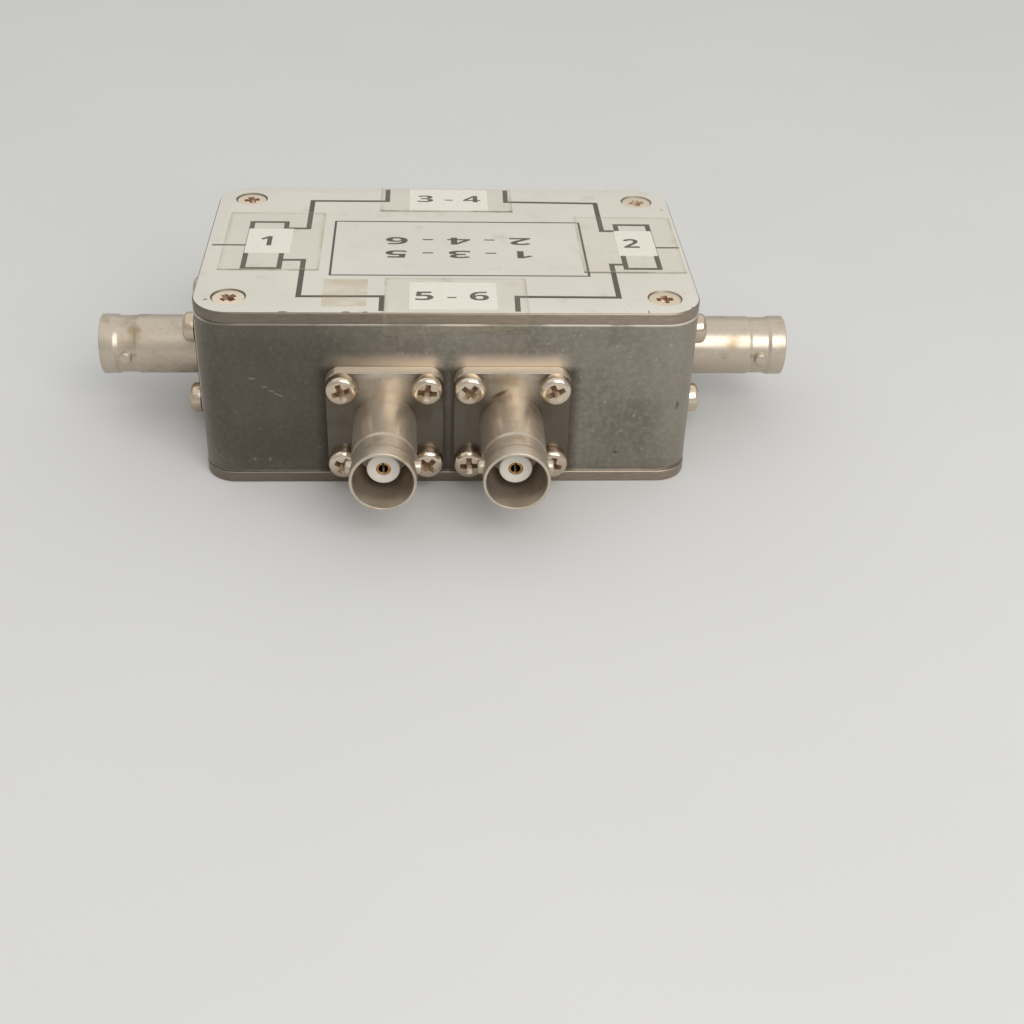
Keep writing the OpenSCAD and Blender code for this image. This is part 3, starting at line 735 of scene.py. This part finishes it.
def drill(radius, sides):
    """A cutter that reaches through the flange."""
    low, high = -PAST, FLANGE_T + PAST
    return lathe([(0, low), (radius, low), (radius, high), (0, high)], sides)


socket_shell = turned("socket_shell", BODY_OUTLINE, 4, 96)
flange_edge = [(0.1, 0), (0, 0.1), (0, FLANGE_T - 0.15), (0.05, FLANGE_T - 0.05), (0.15, FLANGE_T)]
flange = make("flange", slab(FLANGE_W, FLANGE_W, FLANGE_R, flange_edge, 8))
cut(flange, make("way_through", drill(WAY_R, 96)))
cut(flange, make("drills", at_four(drill(PLAIN_R, 32), FLANGE_SCREW, FLANGE_SCREW)))
cut(socket_shell, flange, "UNION")

lug_outline = [(0, LUG_ROOT, 0), (LUG_R, LUG_ROOT, 0), (LUG_R, LUG_TOP, 0.3), (0, LUG_TOP, 0)]
lug = lathe(rounded(lug_outline, 4), 32)
lug_turns = [Matrix.Rotation(t, 4, "Y") for t in (math.pi / 2, -math.pi / 2)]
lugs = [moved(lug, Matrix.Translation((0, 0, LUG_Z)) @ turn) for turn in lug_turns]
cut(socket_shell, make("lugs", gather(lugs)), "UNION")

skin_faces = socket_shell.data.polygons
face_marks = {
    "plate": [
        float(face.normal.z > 0.4 and face.normal.y < 0.3 and abs(face.center.z / MM - FLANGE_T) < 0.16)
        for face in skin_faces
    ],
    # the flange's top edge, rough and with a painted highlight
    "sawn": [float(face.normal.y > 0.9 and face.center.y > SAWN_Y * MM) for face in skin_faces],
}
for name, values in face_marks.items():
    socket_shell.data.attributes.new(name, "FLOAT", "FACE").data.foreach_set("value", values)
    print(name, "faces:", sum(values))
own_places = [c for vertex in socket_shell.data.vertices for c in vertex.co]
socket_shell.data.attributes.new("own", "FLOAT_VECTOR", "POINT").data.foreach_set("vector", own_places)

insulator = turned("insulator", INSULATOR_OUTLINE, 4, 64)
contact = turned("contact", CONTACT_OUTLINE, 3, 48)
slit = slab(SLIT_W, 2 * (CONTACT_R + PAST), 0.02, [(0, SLIT_Z), (0, CONTACT_END + PAST)], 1)
cut(contact, make("slit", slit))
print("socket faces:", len(socket_shell.data.polygons), "contact faces:", len(contact.data.polygons))

# %% [markdown]
# ## Six sockets on four walls
#
# A small Geometry Nodes tree stands a piece on every point and turns it by the point's own angle. The
# same tree places the bodies, the insulators and the contacts, so they always stay in line. Copying
# objects by hand would work as well, but one list of ports is easier to change. Realize Instances
# makes real faces, and the result is kept as a plain mesh.

# %% Six sockets on four walls
WELD = 0.0001  # points this near, in mm, are one point
PORT_Z = 11.5
PORTS = {
    "a": ((-CASE_W / 2, 0), 270),
    "b": ((CASE_W / 2, 0), 90),
    "a1": ((-PITCH / 2, CASE_D / 2), 180),
    "b1": ((PITCH / 2, CASE_D / 2), 180),
    "a2": ((-PITCH / 2, -CASE_D / 2), 0),
    "b2": ((PITCH / 2, -CASE_D / 2), 0),
}
port_places = []
for (x, y), turn in PORTS.values():
    lying = Euler((math.pi / 2, 0, math.radians(turn))).to_matrix().to_4x4()
    port_places.append(Matrix.Translation((x, y, PORT_Z)) @ lying)


def new_tree(name, sockets):
    """A geometry tree with named inputs, and its input node."""
    made = bpy.data.node_groups.new(name, "GeometryNodeTree")
    made.interface.new_socket("Result", in_out="OUTPUT", socket_type="NodeSocketGeometry")
    for label, kind in sockets.items():
        made.interface.new_socket(label, in_out="INPUT", socket_type="NodeSocket" + kind)
    return made, add(made, "NodeGroupInput").outputs


def trim(obj):
    """Welds the doubled points that a cut leaves, and splits its many-sided faces into even triangles."""
    work = bmesh.new()
    work.from_mesh(obj.data)
    bmesh.ops.remove_doubles(work, verts=work.verts, dist=WELD * MM)
    many_sided = [face for face in work.faces if len(face.verts) > 4]
    bmesh.ops.triangulate(work, faces=many_sided, ngon_method="BEAUTY")
    work.to_mesh(obj.data)
    work.free()
    return obj


def grow(name, tree, places, **inputs):
    """Runs a tree on points that carry a turn each, and keeps the result as a plain mesh."""
    obj = make(name, ([place.to_translation() for place in places], []))
    aim = obj.data.attributes.new("aim", "FLOAT_VECTOR", "POINT")
    aim.data.foreach_set("vector", [angle for place in places for angle in place.to_euler("XYZ")])
    step = obj.modifiers.new("grow", "NODES")
    step.node_group = tree
    for item in tree.interface.items_tree:
        key = item.name.lower().replace(" ", "_")
        if item.in_out == "INPUT" and key in inputs:
            step[item.identifier] = inputs.pop(key)
    assert not inputs, inputs
    return trim(settle(obj))


def stand(tree, given, piece):
    """Stands a piece on every point of a tree, turned by the point's own angle."""
    aim = add(tree, "GeometryNodeInputNamedAttribute", {"Name": "aim"}, data_type="FLOAT_VECTOR")
    turn = add(tree, "FunctionNodeEulerToRotation", {"Euler": aim.outputs["Attribute"]})
    inputs = {"Points": given["Points"], "Instance": piece, "Rotation": turn}
    return add(tree, "GeometryNodeInstanceOnPoints", inputs)


def end_tree(tree, given, stood):
    """Ends a tree with real faces in its finish."""
    real = add(tree, "GeometryNodeRealizeInstances", {"Geometry": stood})
    finished = add(tree, "GeometryNodeSetMaterial", {"Geometry": real, "Material": given["Finish"]})
    add(tree, "NodeGroupOutput", {"Result": finished})


PORT_INPUTS = {"Points": "Geometry", "Piece": "Object", "Finish": "Material"}
port_tree, given = new_tree("stand_on_ports", PORT_INPUTS)
piece = add(port_tree, "GeometryNodeObjectInfo", {"Object": given["Piece"]}).outputs["Geometry"]
end_tree(port_tree, given, stand(port_tree, given, piece))

for name, piece_object, finish, slot, node in (
    ("socket_shells", socket_shell, nickel, "nickel", "socket_body"),
    ("insulator_set", insulator, ptfe, "ptfe", "insulator"),
    ("contact_set", contact, gold_plate, "gold", "contact"),
):
    made = grow(name, port_tree, port_places, piece=piece_object, finish=finish)
    bpy.data.objects.remove(piece_object)
    hand_over(smooth(made), finish, slot, *[f"{node}_{port}" for port in PORTS])

# %% [markdown]
# ## Screws
#
# Thirty-two screws hold the splitter together, of two kinds. Each blank is turned on the lathe, and
# the tree cuts the cross recess with two tapered bars and a cone, stores how rusty each face in it
# is, gives each screw its own tone, and stands one on every point, each cross at its own angle.

# %% Screws
PAN_H, PAN_R, SHANK_R, SINK = 2.0, 2.375, 1.25, 0.2
PAN_RECESS = {"arm_length": 3.0 * MM, "arm_width": 0.85 * MM, "recess_depth": 1.3 * MM, "rust": 0.25}
SUNK_RECESS = {"arm_length": 2.5 * MM, "arm_width": 1.0 * MM, "recess_depth": 1.2 * MM, "rust": 1.0}
SHORTEN, NARROW = 0.35, 0.7  # what is left of a bar's length and width at the recess's floor
RUST_REACH = 0.51  # share of a bar's length, from the middle, within which faces rust
TONE_SEED = 7

measures = dict.fromkeys(("Face height", "Arm length", "Arm width", "Recess depth", "Rust"), "Float")
SCREW_INPUTS = {"Points": "Geometry", "Blank": "Object", **measures, "Finish": "Material"}
screw_tree, given = new_tree("cross_recess_screws", SCREW_INPUTS)
tree = screw_tree

# The cutters: a bar that tapers downwards, the same bar crosswise, and a cone for the driver's tip.
twice = add(tree, "Math", [given["Recess depth"], 2.0], operation="MULTIPLY")
bar_size = add(tree, "CombineXYZ", [given["Arm length"], given["Arm width"], twice])
bar = add(tree, "GeometryNodeMeshCube", {"Size": bar_size})
at = add(tree, "GeometryNodeInputPosition")
axes = add(tree, "SeparateXYZ", [at]).outputs
floor_z = add(tree, "Math", [given["Recess depth"], -1.0], operation="MULTIPLY")
shorten = add(tree, "MapRange", [axes[2], floor_z, 0.0, SHORTEN, 1.0], clamp=False)
narrow = add(tree, "MapRange", [axes[2], floor_z, 0.0, NARROW, 1.0], clamp=False)
short = add(tree, "Math", [axes[0], shorten], operation="MULTIPLY")
slim = add(tree, "Math", [axes[1], narrow], operation="MULTIPLY")
tapered_at = add(tree, "CombineXYZ", [short, slim, axes[2]])
tapered = add(tree, "GeometryNodeSetPosition", {"Geometry": bar, "Position": tapered_at})
quarter = Euler((0, 0, math.pi / 2))
crossed = add(tree, "GeometryNodeTransform", {"Geometry": tapered, "Rotation": quarter})
tip = {"Vertices": 8, "Radius Top": 0.85 * MM, "Radius Bottom": 0.2 * MM, "Depth": 1.3 * MM}
cone = add(tree, "GeometryNodeMeshCone", tip)
sunk_cone = add(tree, "GeometryNodeTransform", {"Geometry": cone, "Translation": (0, 0, -1.2 * MM)})
cutters = add(tree, "GeometryNodeJoinGeometry")
for cutter in (tapered, crossed, sunk_cone):
    tree.links.new(cutter.outputs[0], cutters.inputs[0])
lift = add(tree, "CombineXYZ", {2: given["Face height"]})
raised = add(tree, "GeometryNodeTransform", {"Geometry": cutters, "Translation": lift})
blank = add(tree, "GeometryNodeObjectInfo", {"Object": given["Blank"]}).outputs["Geometry"]
solids = {"Mesh 1": blank, "Mesh 2": raised, "Self Intersection": True}
driven = add(tree, "GeometryNodeMeshBoolean", solids, operation="DIFFERENCE", solver="EXACT")

# Rust: none outside the recess, and more the deeper a face lies in it.
below = add(tree, "Math", [given["Face height"], axes[2]], operation="SUBTRACT")
deep = add(tree, "Math", [below, given["Recess depth"]], operation="DIVIDE")
flat_at = add(tree, "CombineXYZ", [axes[0], axes[1]])
from_axis = add(tree, "VectorMath", [flat_at], operation="LENGTH")
reach = add(tree, "Math", [given["Arm length"], RUST_REACH], operation="MULTIPLY")
inside = add(tree, "Math", [from_axis, reach], operation="LESS_THAN")
share = add(tree, "Math", [deep, inside], operation="MULTIPLY")
rust = add(tree, "Math", [share, given["Rust"]], operation="MULTIPLY")
STORE = "GeometryNodeStoreNamedAttribute"
rusted = {"Geometry": driven, "Name": "rust", "Value": rust}
rusty = add(tree, STORE, rusted, data_type="FLOAT", domain="FACE")
stood = stand(tree, given, rusty)
chance = add(tree, "FunctionNodeRandomValue", {"Seed": TONE_SEED}, data_type="FLOAT")
toned = {"Geometry": stood, "Name": "tone", "Value": chance.outputs[1]}
end_tree(tree, given, add(tree, STORE, toned, data_type="FLOAT", domain="INSTANCE"))


def spun(place, degrees):
    """A place with a screw's own turn about its axis."""
    return place @ Matrix.Rotation(math.radians(degrees), 4, "Z")


PAN_OUTLINE = [
    (0, -5.8, 0),
    (SHANK_R, -5.8, 0.25),
    (SHANK_R, 0, 0),
    (PAN_R, 0, 0.12),
    (PAN_R, 1.8, 0.9),
    (0, PAN_H, 0),
]
SUNK_OUTLINE = [
    (0, -8, 0),
    (SHANK_R, -8, 0.25),
    (SHANK_R, -SINK - 1.15, 0),
    (2.4, -SINK - 0.06, 0.05),
    (2.34, -SINK, 0.04),
    (0, -SINK, 0),
]
pan_blank = turned("pan_blank", PAN_OUTLINE, 7, 48)
sunk_blank = turned("sunk_blank", SUNK_OUTLINE, 3, 48)

# Each cross stands at its own angle, in degrees.
PAN_TURNS, PORT_TURN = (28, 75, 12, 50), 31
COVER_TURNS = (40, 12, 4, 8)
flange_places = []
for k, port_place in enumerate(port_places):
    for place, degrees in zip(four(FLANGE_SCREW, FLANGE_SCREW, FLANGE_T), PAN_TURNS):
        flange_places.append(spun(port_place @ Matrix.Translation(place), degrees + PORT_TURN * k))
top_spots = zip(four(SCREW_X, SCREW_Y, CASE_H), COVER_TURNS)
top_places = [spun(Matrix.Translation(place), degrees) for place, degrees in top_spots]
under = Matrix.Rotation(math.pi, 4, "X")
base_places = [under @ Matrix.Translation((0, 0, -CASE_H)) @ place for place in top_places]

PAN = {"blank": pan_blank, "face_height": PAN_H * MM, "finish": bright_nickel, **PAN_RECESS}
SUNK = {"blank": sunk_blank, "face_height": -SINK * MM, "finish": dulled_nickel, **SUNK_RECESS}
for name, kind, places, nodes in (
    ("flange_screw_set", PAN, flange_places, [f"flange_screws_{port}" for port in PORTS]),
    ("top_cover_screw_set", SUNK, top_places, ["top_cover_screws"]),
    ("bottom_cover_screw_set", SUNK, base_places, ["bottom_cover_screws"]),
):
    made = grow(name, screw_tree, places, **kind)
    hand_over(smooth(made), kind["finish"], "screw_steel", *nodes)
bpy.data.objects.remove(pan_blank)
bpy.data.objects.remove(sunk_blank)
print("screws:", len(flange_places) + len(top_places) + len(base_places))

# %% [markdown]
# ## The printed lines
#
# A simple diagram is screen printed on the cover: one block for each channel, with leads that run to
# the edge above every socket, and a frame round a plain legend. Ink lies on the paint as a film, so
# each line is a thin ribbon with mitred corners. An image could show the lines too, but geometry
# stays sharp at any distance. Where ribbons cross, each lies a hair higher than the last.

# %% The printed lines
INK_BASE, INK_TOP, INK_STEP = 29.0, 29.02, 0.002
FLATTER = 0.8  # lines that run left to right are printed this much thinner


def ribbon(path, width, low, high, closed):
    """Points in mm and faces of a flat mitred ribbon along a path of (x, y) points."""
    spots = [Vector((x, y / FLATTER)) for x, y in path]
    count = len(spots)
    points, faces = [], []
    for i, here in enumerate(spots):
        before = spots[i - 1] if closed or i > 0 else 2 * here - spots[1]
        after = spots[(i + 1) % count] if closed or i < count - 1 else 2 * here - spots[i - 1]
        come, go = (here - before).normalized(), (after - here).normalized()
        along = (come + go).normalized()
        across = Vector((-along.y, along.x)) * (width / 2 / along.dot(go))
        for side, z in ((across, low), (-across, low), (-across, high), (across, high)):
            points.append((here.x + side.x, (here.y + side.y) * FLATTER, z))
    for i in range(count if closed else count - 1):
        this, on = 4 * i, 4 * ((i + 1) % count)
        for k in range(4):
            n = (k + 1) % 4
            faces.append([this + k, on + k, on + n, this + n])
    if not closed:
        faces += [[0, 1, 2, 3], [4 * count - 1, 4 * count - 2, 4 * count - 3, 4 * count - 4]]
    return points, faces


def block(left, front, right, back):
    """The corners of a rectangle."""
    return [(left, front), (right, front), (right, back), (left, back)]


PRINT = (
    # width in mm, closed or open, corners in mm
    (0.8, True, block(-31.2, -8.6, -25.7, 8.75)),
    (0.55, False, [(-36.7, -0.2), (-31.2, -0.2)]),
    (0.8, False, [(-25.3, 6.3), (-22.1, 6.3), (-22.1, 17.6), (-9.7, 17.7), (-9.7, 22.75)]),
    (0.8, False, [(-25.3, -5.6), (-22.15, -5.6), (-22.1, -18.2), (-9.8, -18.1), (-9.8, -22.9)]),
    (0.8, True, block(27.65, -8.2, 32.9, 8.5)),
    (0.55, False, [(32.9, -0.3), (36.95, -0.3)]),
    (0.8, False, [(27.3, 6.0), (25.2, 6.0), (25.2, 17.4), (10.1, 17.7), (10.2, 22.75)]),
    (0.8, False, [(27.3, -6.7), (25.5, -6.7), (25.4, -18.2), (10.2, -18.1), (10.1, -22.9)]),
    (0.34, True, block(-17.85, -10.9, 21.65, 9.25)),
)

# Screen ink: dark grey, matt, a little thin where the mesh let less through.
ink = plain_finish("screen_printed_ink", "#46453D", "#5F5D53", 0.6, 0.6)

ribbons = []
for i, (width, closed, corners_of) in enumerate(PRINT):
    ribbons.append(ribbon(corners_of, width, INK_BASE, INK_TOP + INK_STEP * i, closed))
hand_over(make("printed_lines", gather(ribbons)), ink, "lid_paint")

# %% [markdown]
# ## Labels and numbers
#
# Someone has stuck paper labels over the diagram. Each is a slip of matt white paper with plain port
# numbers in a bold sans face. The numbers start as a text curve, which is made a mesh, measured and
# fitted to its place. The legend in the frame says which ports are joined, and reads from the back.

# %% Labels and numbers
PAPER_TOP, NUMBER_TOP = 29.05, 29.0535
BOLD_ZERO = 0x1D7EC  # the bold sans zero, which the other bold digits follow
LABELS = (
    # left, front, right, back in mm
    (-31.5, -3.2, -24.45, 6.05),
    (27.1, -3.5, 33.2, 6.0),
    (-6.0, 13.9, 7.05, 22.8),
    (-5.8, -22.4, 7.2, -13.4),
)
NUMBERS = (
    # words, left, front, right, back in mm, on a label or in the legend
    ("1", -29.35, -0.4, -27.55, 3.1, True),
    ("2", 28.2, -0.5, 30.7, 2.9, True),
    ("3 - 4", -4.7, 17.4, 5.85, 20.2, True),
    ("5 - 6", -4.9, -19.4, 6.0, -16.5, True),
    ("1 - 3 - 5", -9.6, -4.6, 13.4, -1.9, False),
    ("2 - 4 - 6", -9.6, 0.4, 13.4, 3.1, False),
)


def numerals(words, left, front, right, back, on_label):
    """Points in mm and faces of bold numbers that fill a box."""
    curve = bpy.data.curves.new("numerals", "FONT")
    curve.body = "".join(chr(BOLD_ZERO + int(c)) if c.isdigit() else c for c in words)
    curve.extrude = 0.05  # some depth, which is fitted to its place as well
    flat = new_object("numerals", curve)
    mesh = bpy.data.meshes.new_from_object(flat.evaluated_get(bpy.context.evaluated_depsgraph_get()))
    bpy.data.objects.remove(flat)
    work = bmesh.new()
    work.from_mesh(mesh)
    bmesh.ops.remove_doubles(work, verts=work.verts, dist=1e-5)
    spots = [v.co.copy() for v in work.verts]
    faces = [[v.index for v in face.verts] for face in work.faces]
    work.free()
    if not on_label:
        spots = [Vector((-p.x, -p.y, p.z)) for p in spots]
    least = [min(p[k] for p in spots) for k in range(3)]
    most = [max(p[k] for p in spots) for k in range(3)]
    heights = (PAPER_TOP, NUMBER_TOP) if on_label else (INK_BASE, INK_TOP)
    box = ((left, right), (front, back), heights)
    points = []
    for p in spots:
        shares = [(p[k] - least[k]) / (most[k] - least[k]) for k in range(3)]
        points.append([start + share * (end - start) for share, (start, end) in zip(shares, box)])
    return points, faces


# Label paper: soft white, matt, with a faint cloud of fibres.
paper = plain_finish("label_paper", "#DCDAD0", "#EAE8E0", 0.8, 0.75, detail=4.0)

slips = []
for left, front, right, back in LABELS:
    slip = slab(right - left, back - front, 0.15, [(0, INK_BASE), (0, PAPER_TOP)], 2)
    slips.append(moved(slip, Matrix.Translation(((left + right) / 2, (front + back) / 2, 0))))
hand_over(make("paper_labels", gather(slips)), paper, "lid_paint")
hand_over(make("plain_numbers", gather([numerals(*row) for row in NUMBERS])), ink, "lid_paint")

# %% [markdown]
# ## Clear tape
#
# Clear tape holds the labels down, and the front and rear pieces fold over the cover's edge onto the
# wall. Old tape is nearly invisible in the middle and brown along its edges, where the glue takes up
# dust. Each tape is a closed film swept across a path, with an attribute for its rim: 1 along the
# edge where a path starts, which is the dustiest, less along the others, and 0 inside.

# %% Clear tape
FILM, FILM_LIFT, RIM = 0.03, 0.056, 0.9
TAPE_Z = CASE_H + FILM_LIFT
WALL_TOP, WALL_NEXT, RIM_TOP = 27.6, 26.85, 26.7  # heights on the wall that a folded tape passes
GLUE_W, GLUE_D, GLUE_LOW, GLUE_TOP, GLUE_AT = 6.6, 9.2, 29.042, 29.05, (-15.3, -16.9, 0)


def film(left, right, left_path, right_path):
    """Points, faces and rim values of a film between two paths of (y, z), at two values of x."""
    columns = [0, RIM / (right - left), 1 - RIM / (right - left), 1]
    rows = len(left_path)
    under, over, rims = [], [], []
    for share in columns:
        line = [Vector(a).lerp(Vector(b), share) for a, b in zip(left_path, right_path)]
        for k, here in enumerate(line):
            along = (line[min(k + 1, rows - 1)] - line[max(k - 1, 0)]).normalized()
            out = Vector((-along.y, along.x)) * FILM
            if out.y < -0.5 * FILM or out.x * here.x < -1e-9:
                out = -out
            x = left + share * (right - left)
            under.append((x, here.x, here.y))
            over.append((x, here.x + out.x, here.y + out.y))
            rims.append(1.0 if k == 0 else 0.6 if share in (0, 1) or k == rows - 1 else 0.0)
    count = len(under)
    faces = []
    for c in range(3):
        for k in range(rows - 1):
            cell = [c * rows + k, c * rows + k + 1, (c + 1) * rows + k + 1, (c + 1) * rows + k]
            faces += [cell[::-1], [count + i for i in cell]]
    border = list(range(rows)) + [c * rows + rows - 1 for c in (1, 2, 3)]
    border += list(range(4 * rows - 2, 3 * rows - 1, -1)) + [2 * rows, rows]
    for this, on in zip(border, border[1:] + border[:1]):
        faces.append([this, on, count + on, count + this])
    return under + over, faces, rims * 2


def lid_path(front, back):
    """A path straight across the cover."""
    return [(front, TAPE_Z), (front + RIM, TAPE_Z), (back - RIM, TAPE_Z), (back, TAPE_Z)]


def fold_path(start, end_z, side):
    """A path from the cover over its edge and down the wall, on the front (-1) or the rear (1)."""
    turns = [k * math.pi / 12 for k in range(1, 7)]
    reach = LID_EDGE + FILM_LIFT
    bend_y, bend_z = LID_D / 2 - LID_EDGE, CASE_H - LID_EDGE
    wall_y = CASE_D / 2 + FILM_LIFT + 0.01
    arc = [(bend_y + reach * math.sin(t), bend_z + reach * math.cos(t)) for t in turns]
    path = [(start, TAPE_Z), (start + RIM, TAPE_Z), (bend_y, TAPE_Z)] + arc
    path += [(wall_y, z) for z in (WALL_TOP, WALL_NEXT, min(end_z + RIM, RIM_TOP), end_z)]
    return [(side * y, z) for y, z in path]


TAPES = (
    # left and right in mm, and the path of each of those sides
    (-35, -19.6, lid_path(-9.4, 12.5), lid_path(-9.4, 12.5)),
    (21, 36.9, lid_path(-9.8, 11.6), lid_path(-9.8, 11.6)),
    (-10.8, 11.1, fold_path(13.4, 25.6, 1), fold_path(13.4, 25.2, 1)),
    (-9.5, 11.8, fold_path(11.9, 25.1, -1)[::-1], fold_path(11.9, 26.3, -1)[::-1]),
)

# Clear polypropylene tape: faintly yellow, glossy, with a brown line of dust in the glue at its rim.
tape_film, tree, where = new_finish("clear_tape")
rim = add(tree, "Attribute", attribute_name="rim").outputs["Fac"]
patchy = add(tree, "TexNoise", sized(where, 6, 3.0))
dusty = add(tree, "MapRange", [patchy, 0.38, 0.62, 0.15, 0.62])
edge_by = add(tree, "Math", [rim, 2.0], operation="POWER")
seen = add(tree, "Math", [edge_by, dusty, 0.032], operation="MULTIPLY_ADD")
end_finish(tree, "#D2C9A8", (edge_by, "#6E5F43"), Roughness=0.2, Alpha=seen)

films = [film(*row) for row in TAPES]
tapes = make("clear_tapes", gather([shape[:2] for shape in films]))
rim_values = tapes.data.attributes.new("rim", "FLOAT", "POINT")
rim_values.data.foreach_set("value", [value for shape in films for value in shape[2]])
hand_over(smooth(tapes), tape_film, "lid_paint")

# Dried glue from an older tape: a thin beige patch, streaked where it was rubbed.
glue, tree, where = new_finish("dried_glue")
stretched = add(tree, "Mapping", {"Vector": where, "Scale": (1.0, 1.6, 1.0)})
streaks = add(tree, "TexNoise", sized(stretched, 4, 2.0))
seen = add(tree, "MapRange", [streaks, 0.3, 0.7, 0.03, 0.14])
end_finish(tree, "#CDB078", (streaks, "#C2A56F"), Roughness=0.5, Alpha=seen)
patch = slab(GLUE_W, GLUE_D, 0.2, [(0, GLUE_LOW), (0, GLUE_TOP)], 2)
hand_over(make("glue_patch", moved(patch, Matrix.Translation(GLUE_AT))), glue, "lid_paint")
print("labels:", len(LABELS), "tapes:", len(TAPES))

# %% [markdown]
# ## The pieces inside
#
# The covers hide the board and what is soldered to it, but an exploded view would show them, so they
# keep their CAD shapes and get true finishes: green solder resist, fired ferrite, enamelled wire,
# blue lacquer, tan ceramic, bright tin and zinc.

# %% The pieces inside


def in_both(*stems):
    """The nodes of some pieces in both channels."""
    return [f"{stem}_{channel}" for stem in stems for channel in "ab"]


CORES, WINDINGS = in_both("transformer_core", "choke_core"), in_both("transformer_winding", "choke_winding")
INNER = (
    # material, two colours, pattern size in mm, metallic, roughness, slot, nodes
    ("green_solder_resist", "#24562F", "#34723F", 1.4, 0.0, 0.32, "board", ["circuit_board"]),
    ("fired_ferrite", "#2C2B2D", "#454447", 0.3, 0.0, 0.62, "ferrite", CORES),
    ("enamelled_copper", "#8E4A1E", "#C47A3E", 0.25, 1.0, 0.3, "copper", WINDINGS),
    ("blue_lacquer", "#44729E", "#5C8DBB", 0.8, 0.0, 0.25, "resistor", in_both("balance_resistor")),
    ("tan_ceramic", "#A98C5C", "#C0A679", 0.4, 0.0, 0.4, "ceramic", ["coupling_capacitors"]),
    ("bright_tin", "#A9ACB0", "#C9CCD0", 0.5, 1.0, 0.24, "solder", ["solder_joints"]),
    ("zinc_plated_steel", "#A9A79F", "#C6C3BA", 0.6, 1.0, 0.28, "screw_steel", ["board_screws"]),
)
for name, dark, light, grain_mm, metallic, roughness, slot, nodes in INNER:
    finish = plain_finish(name, dark, light, grain_mm, roughness, uneven=0.06, Metallic=metallic)
    for node in nodes:
        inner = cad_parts[node]
        inner.data.materials.clear()
        inner.data.materials.append(finish)
print("inner finishes:", len(INNER))
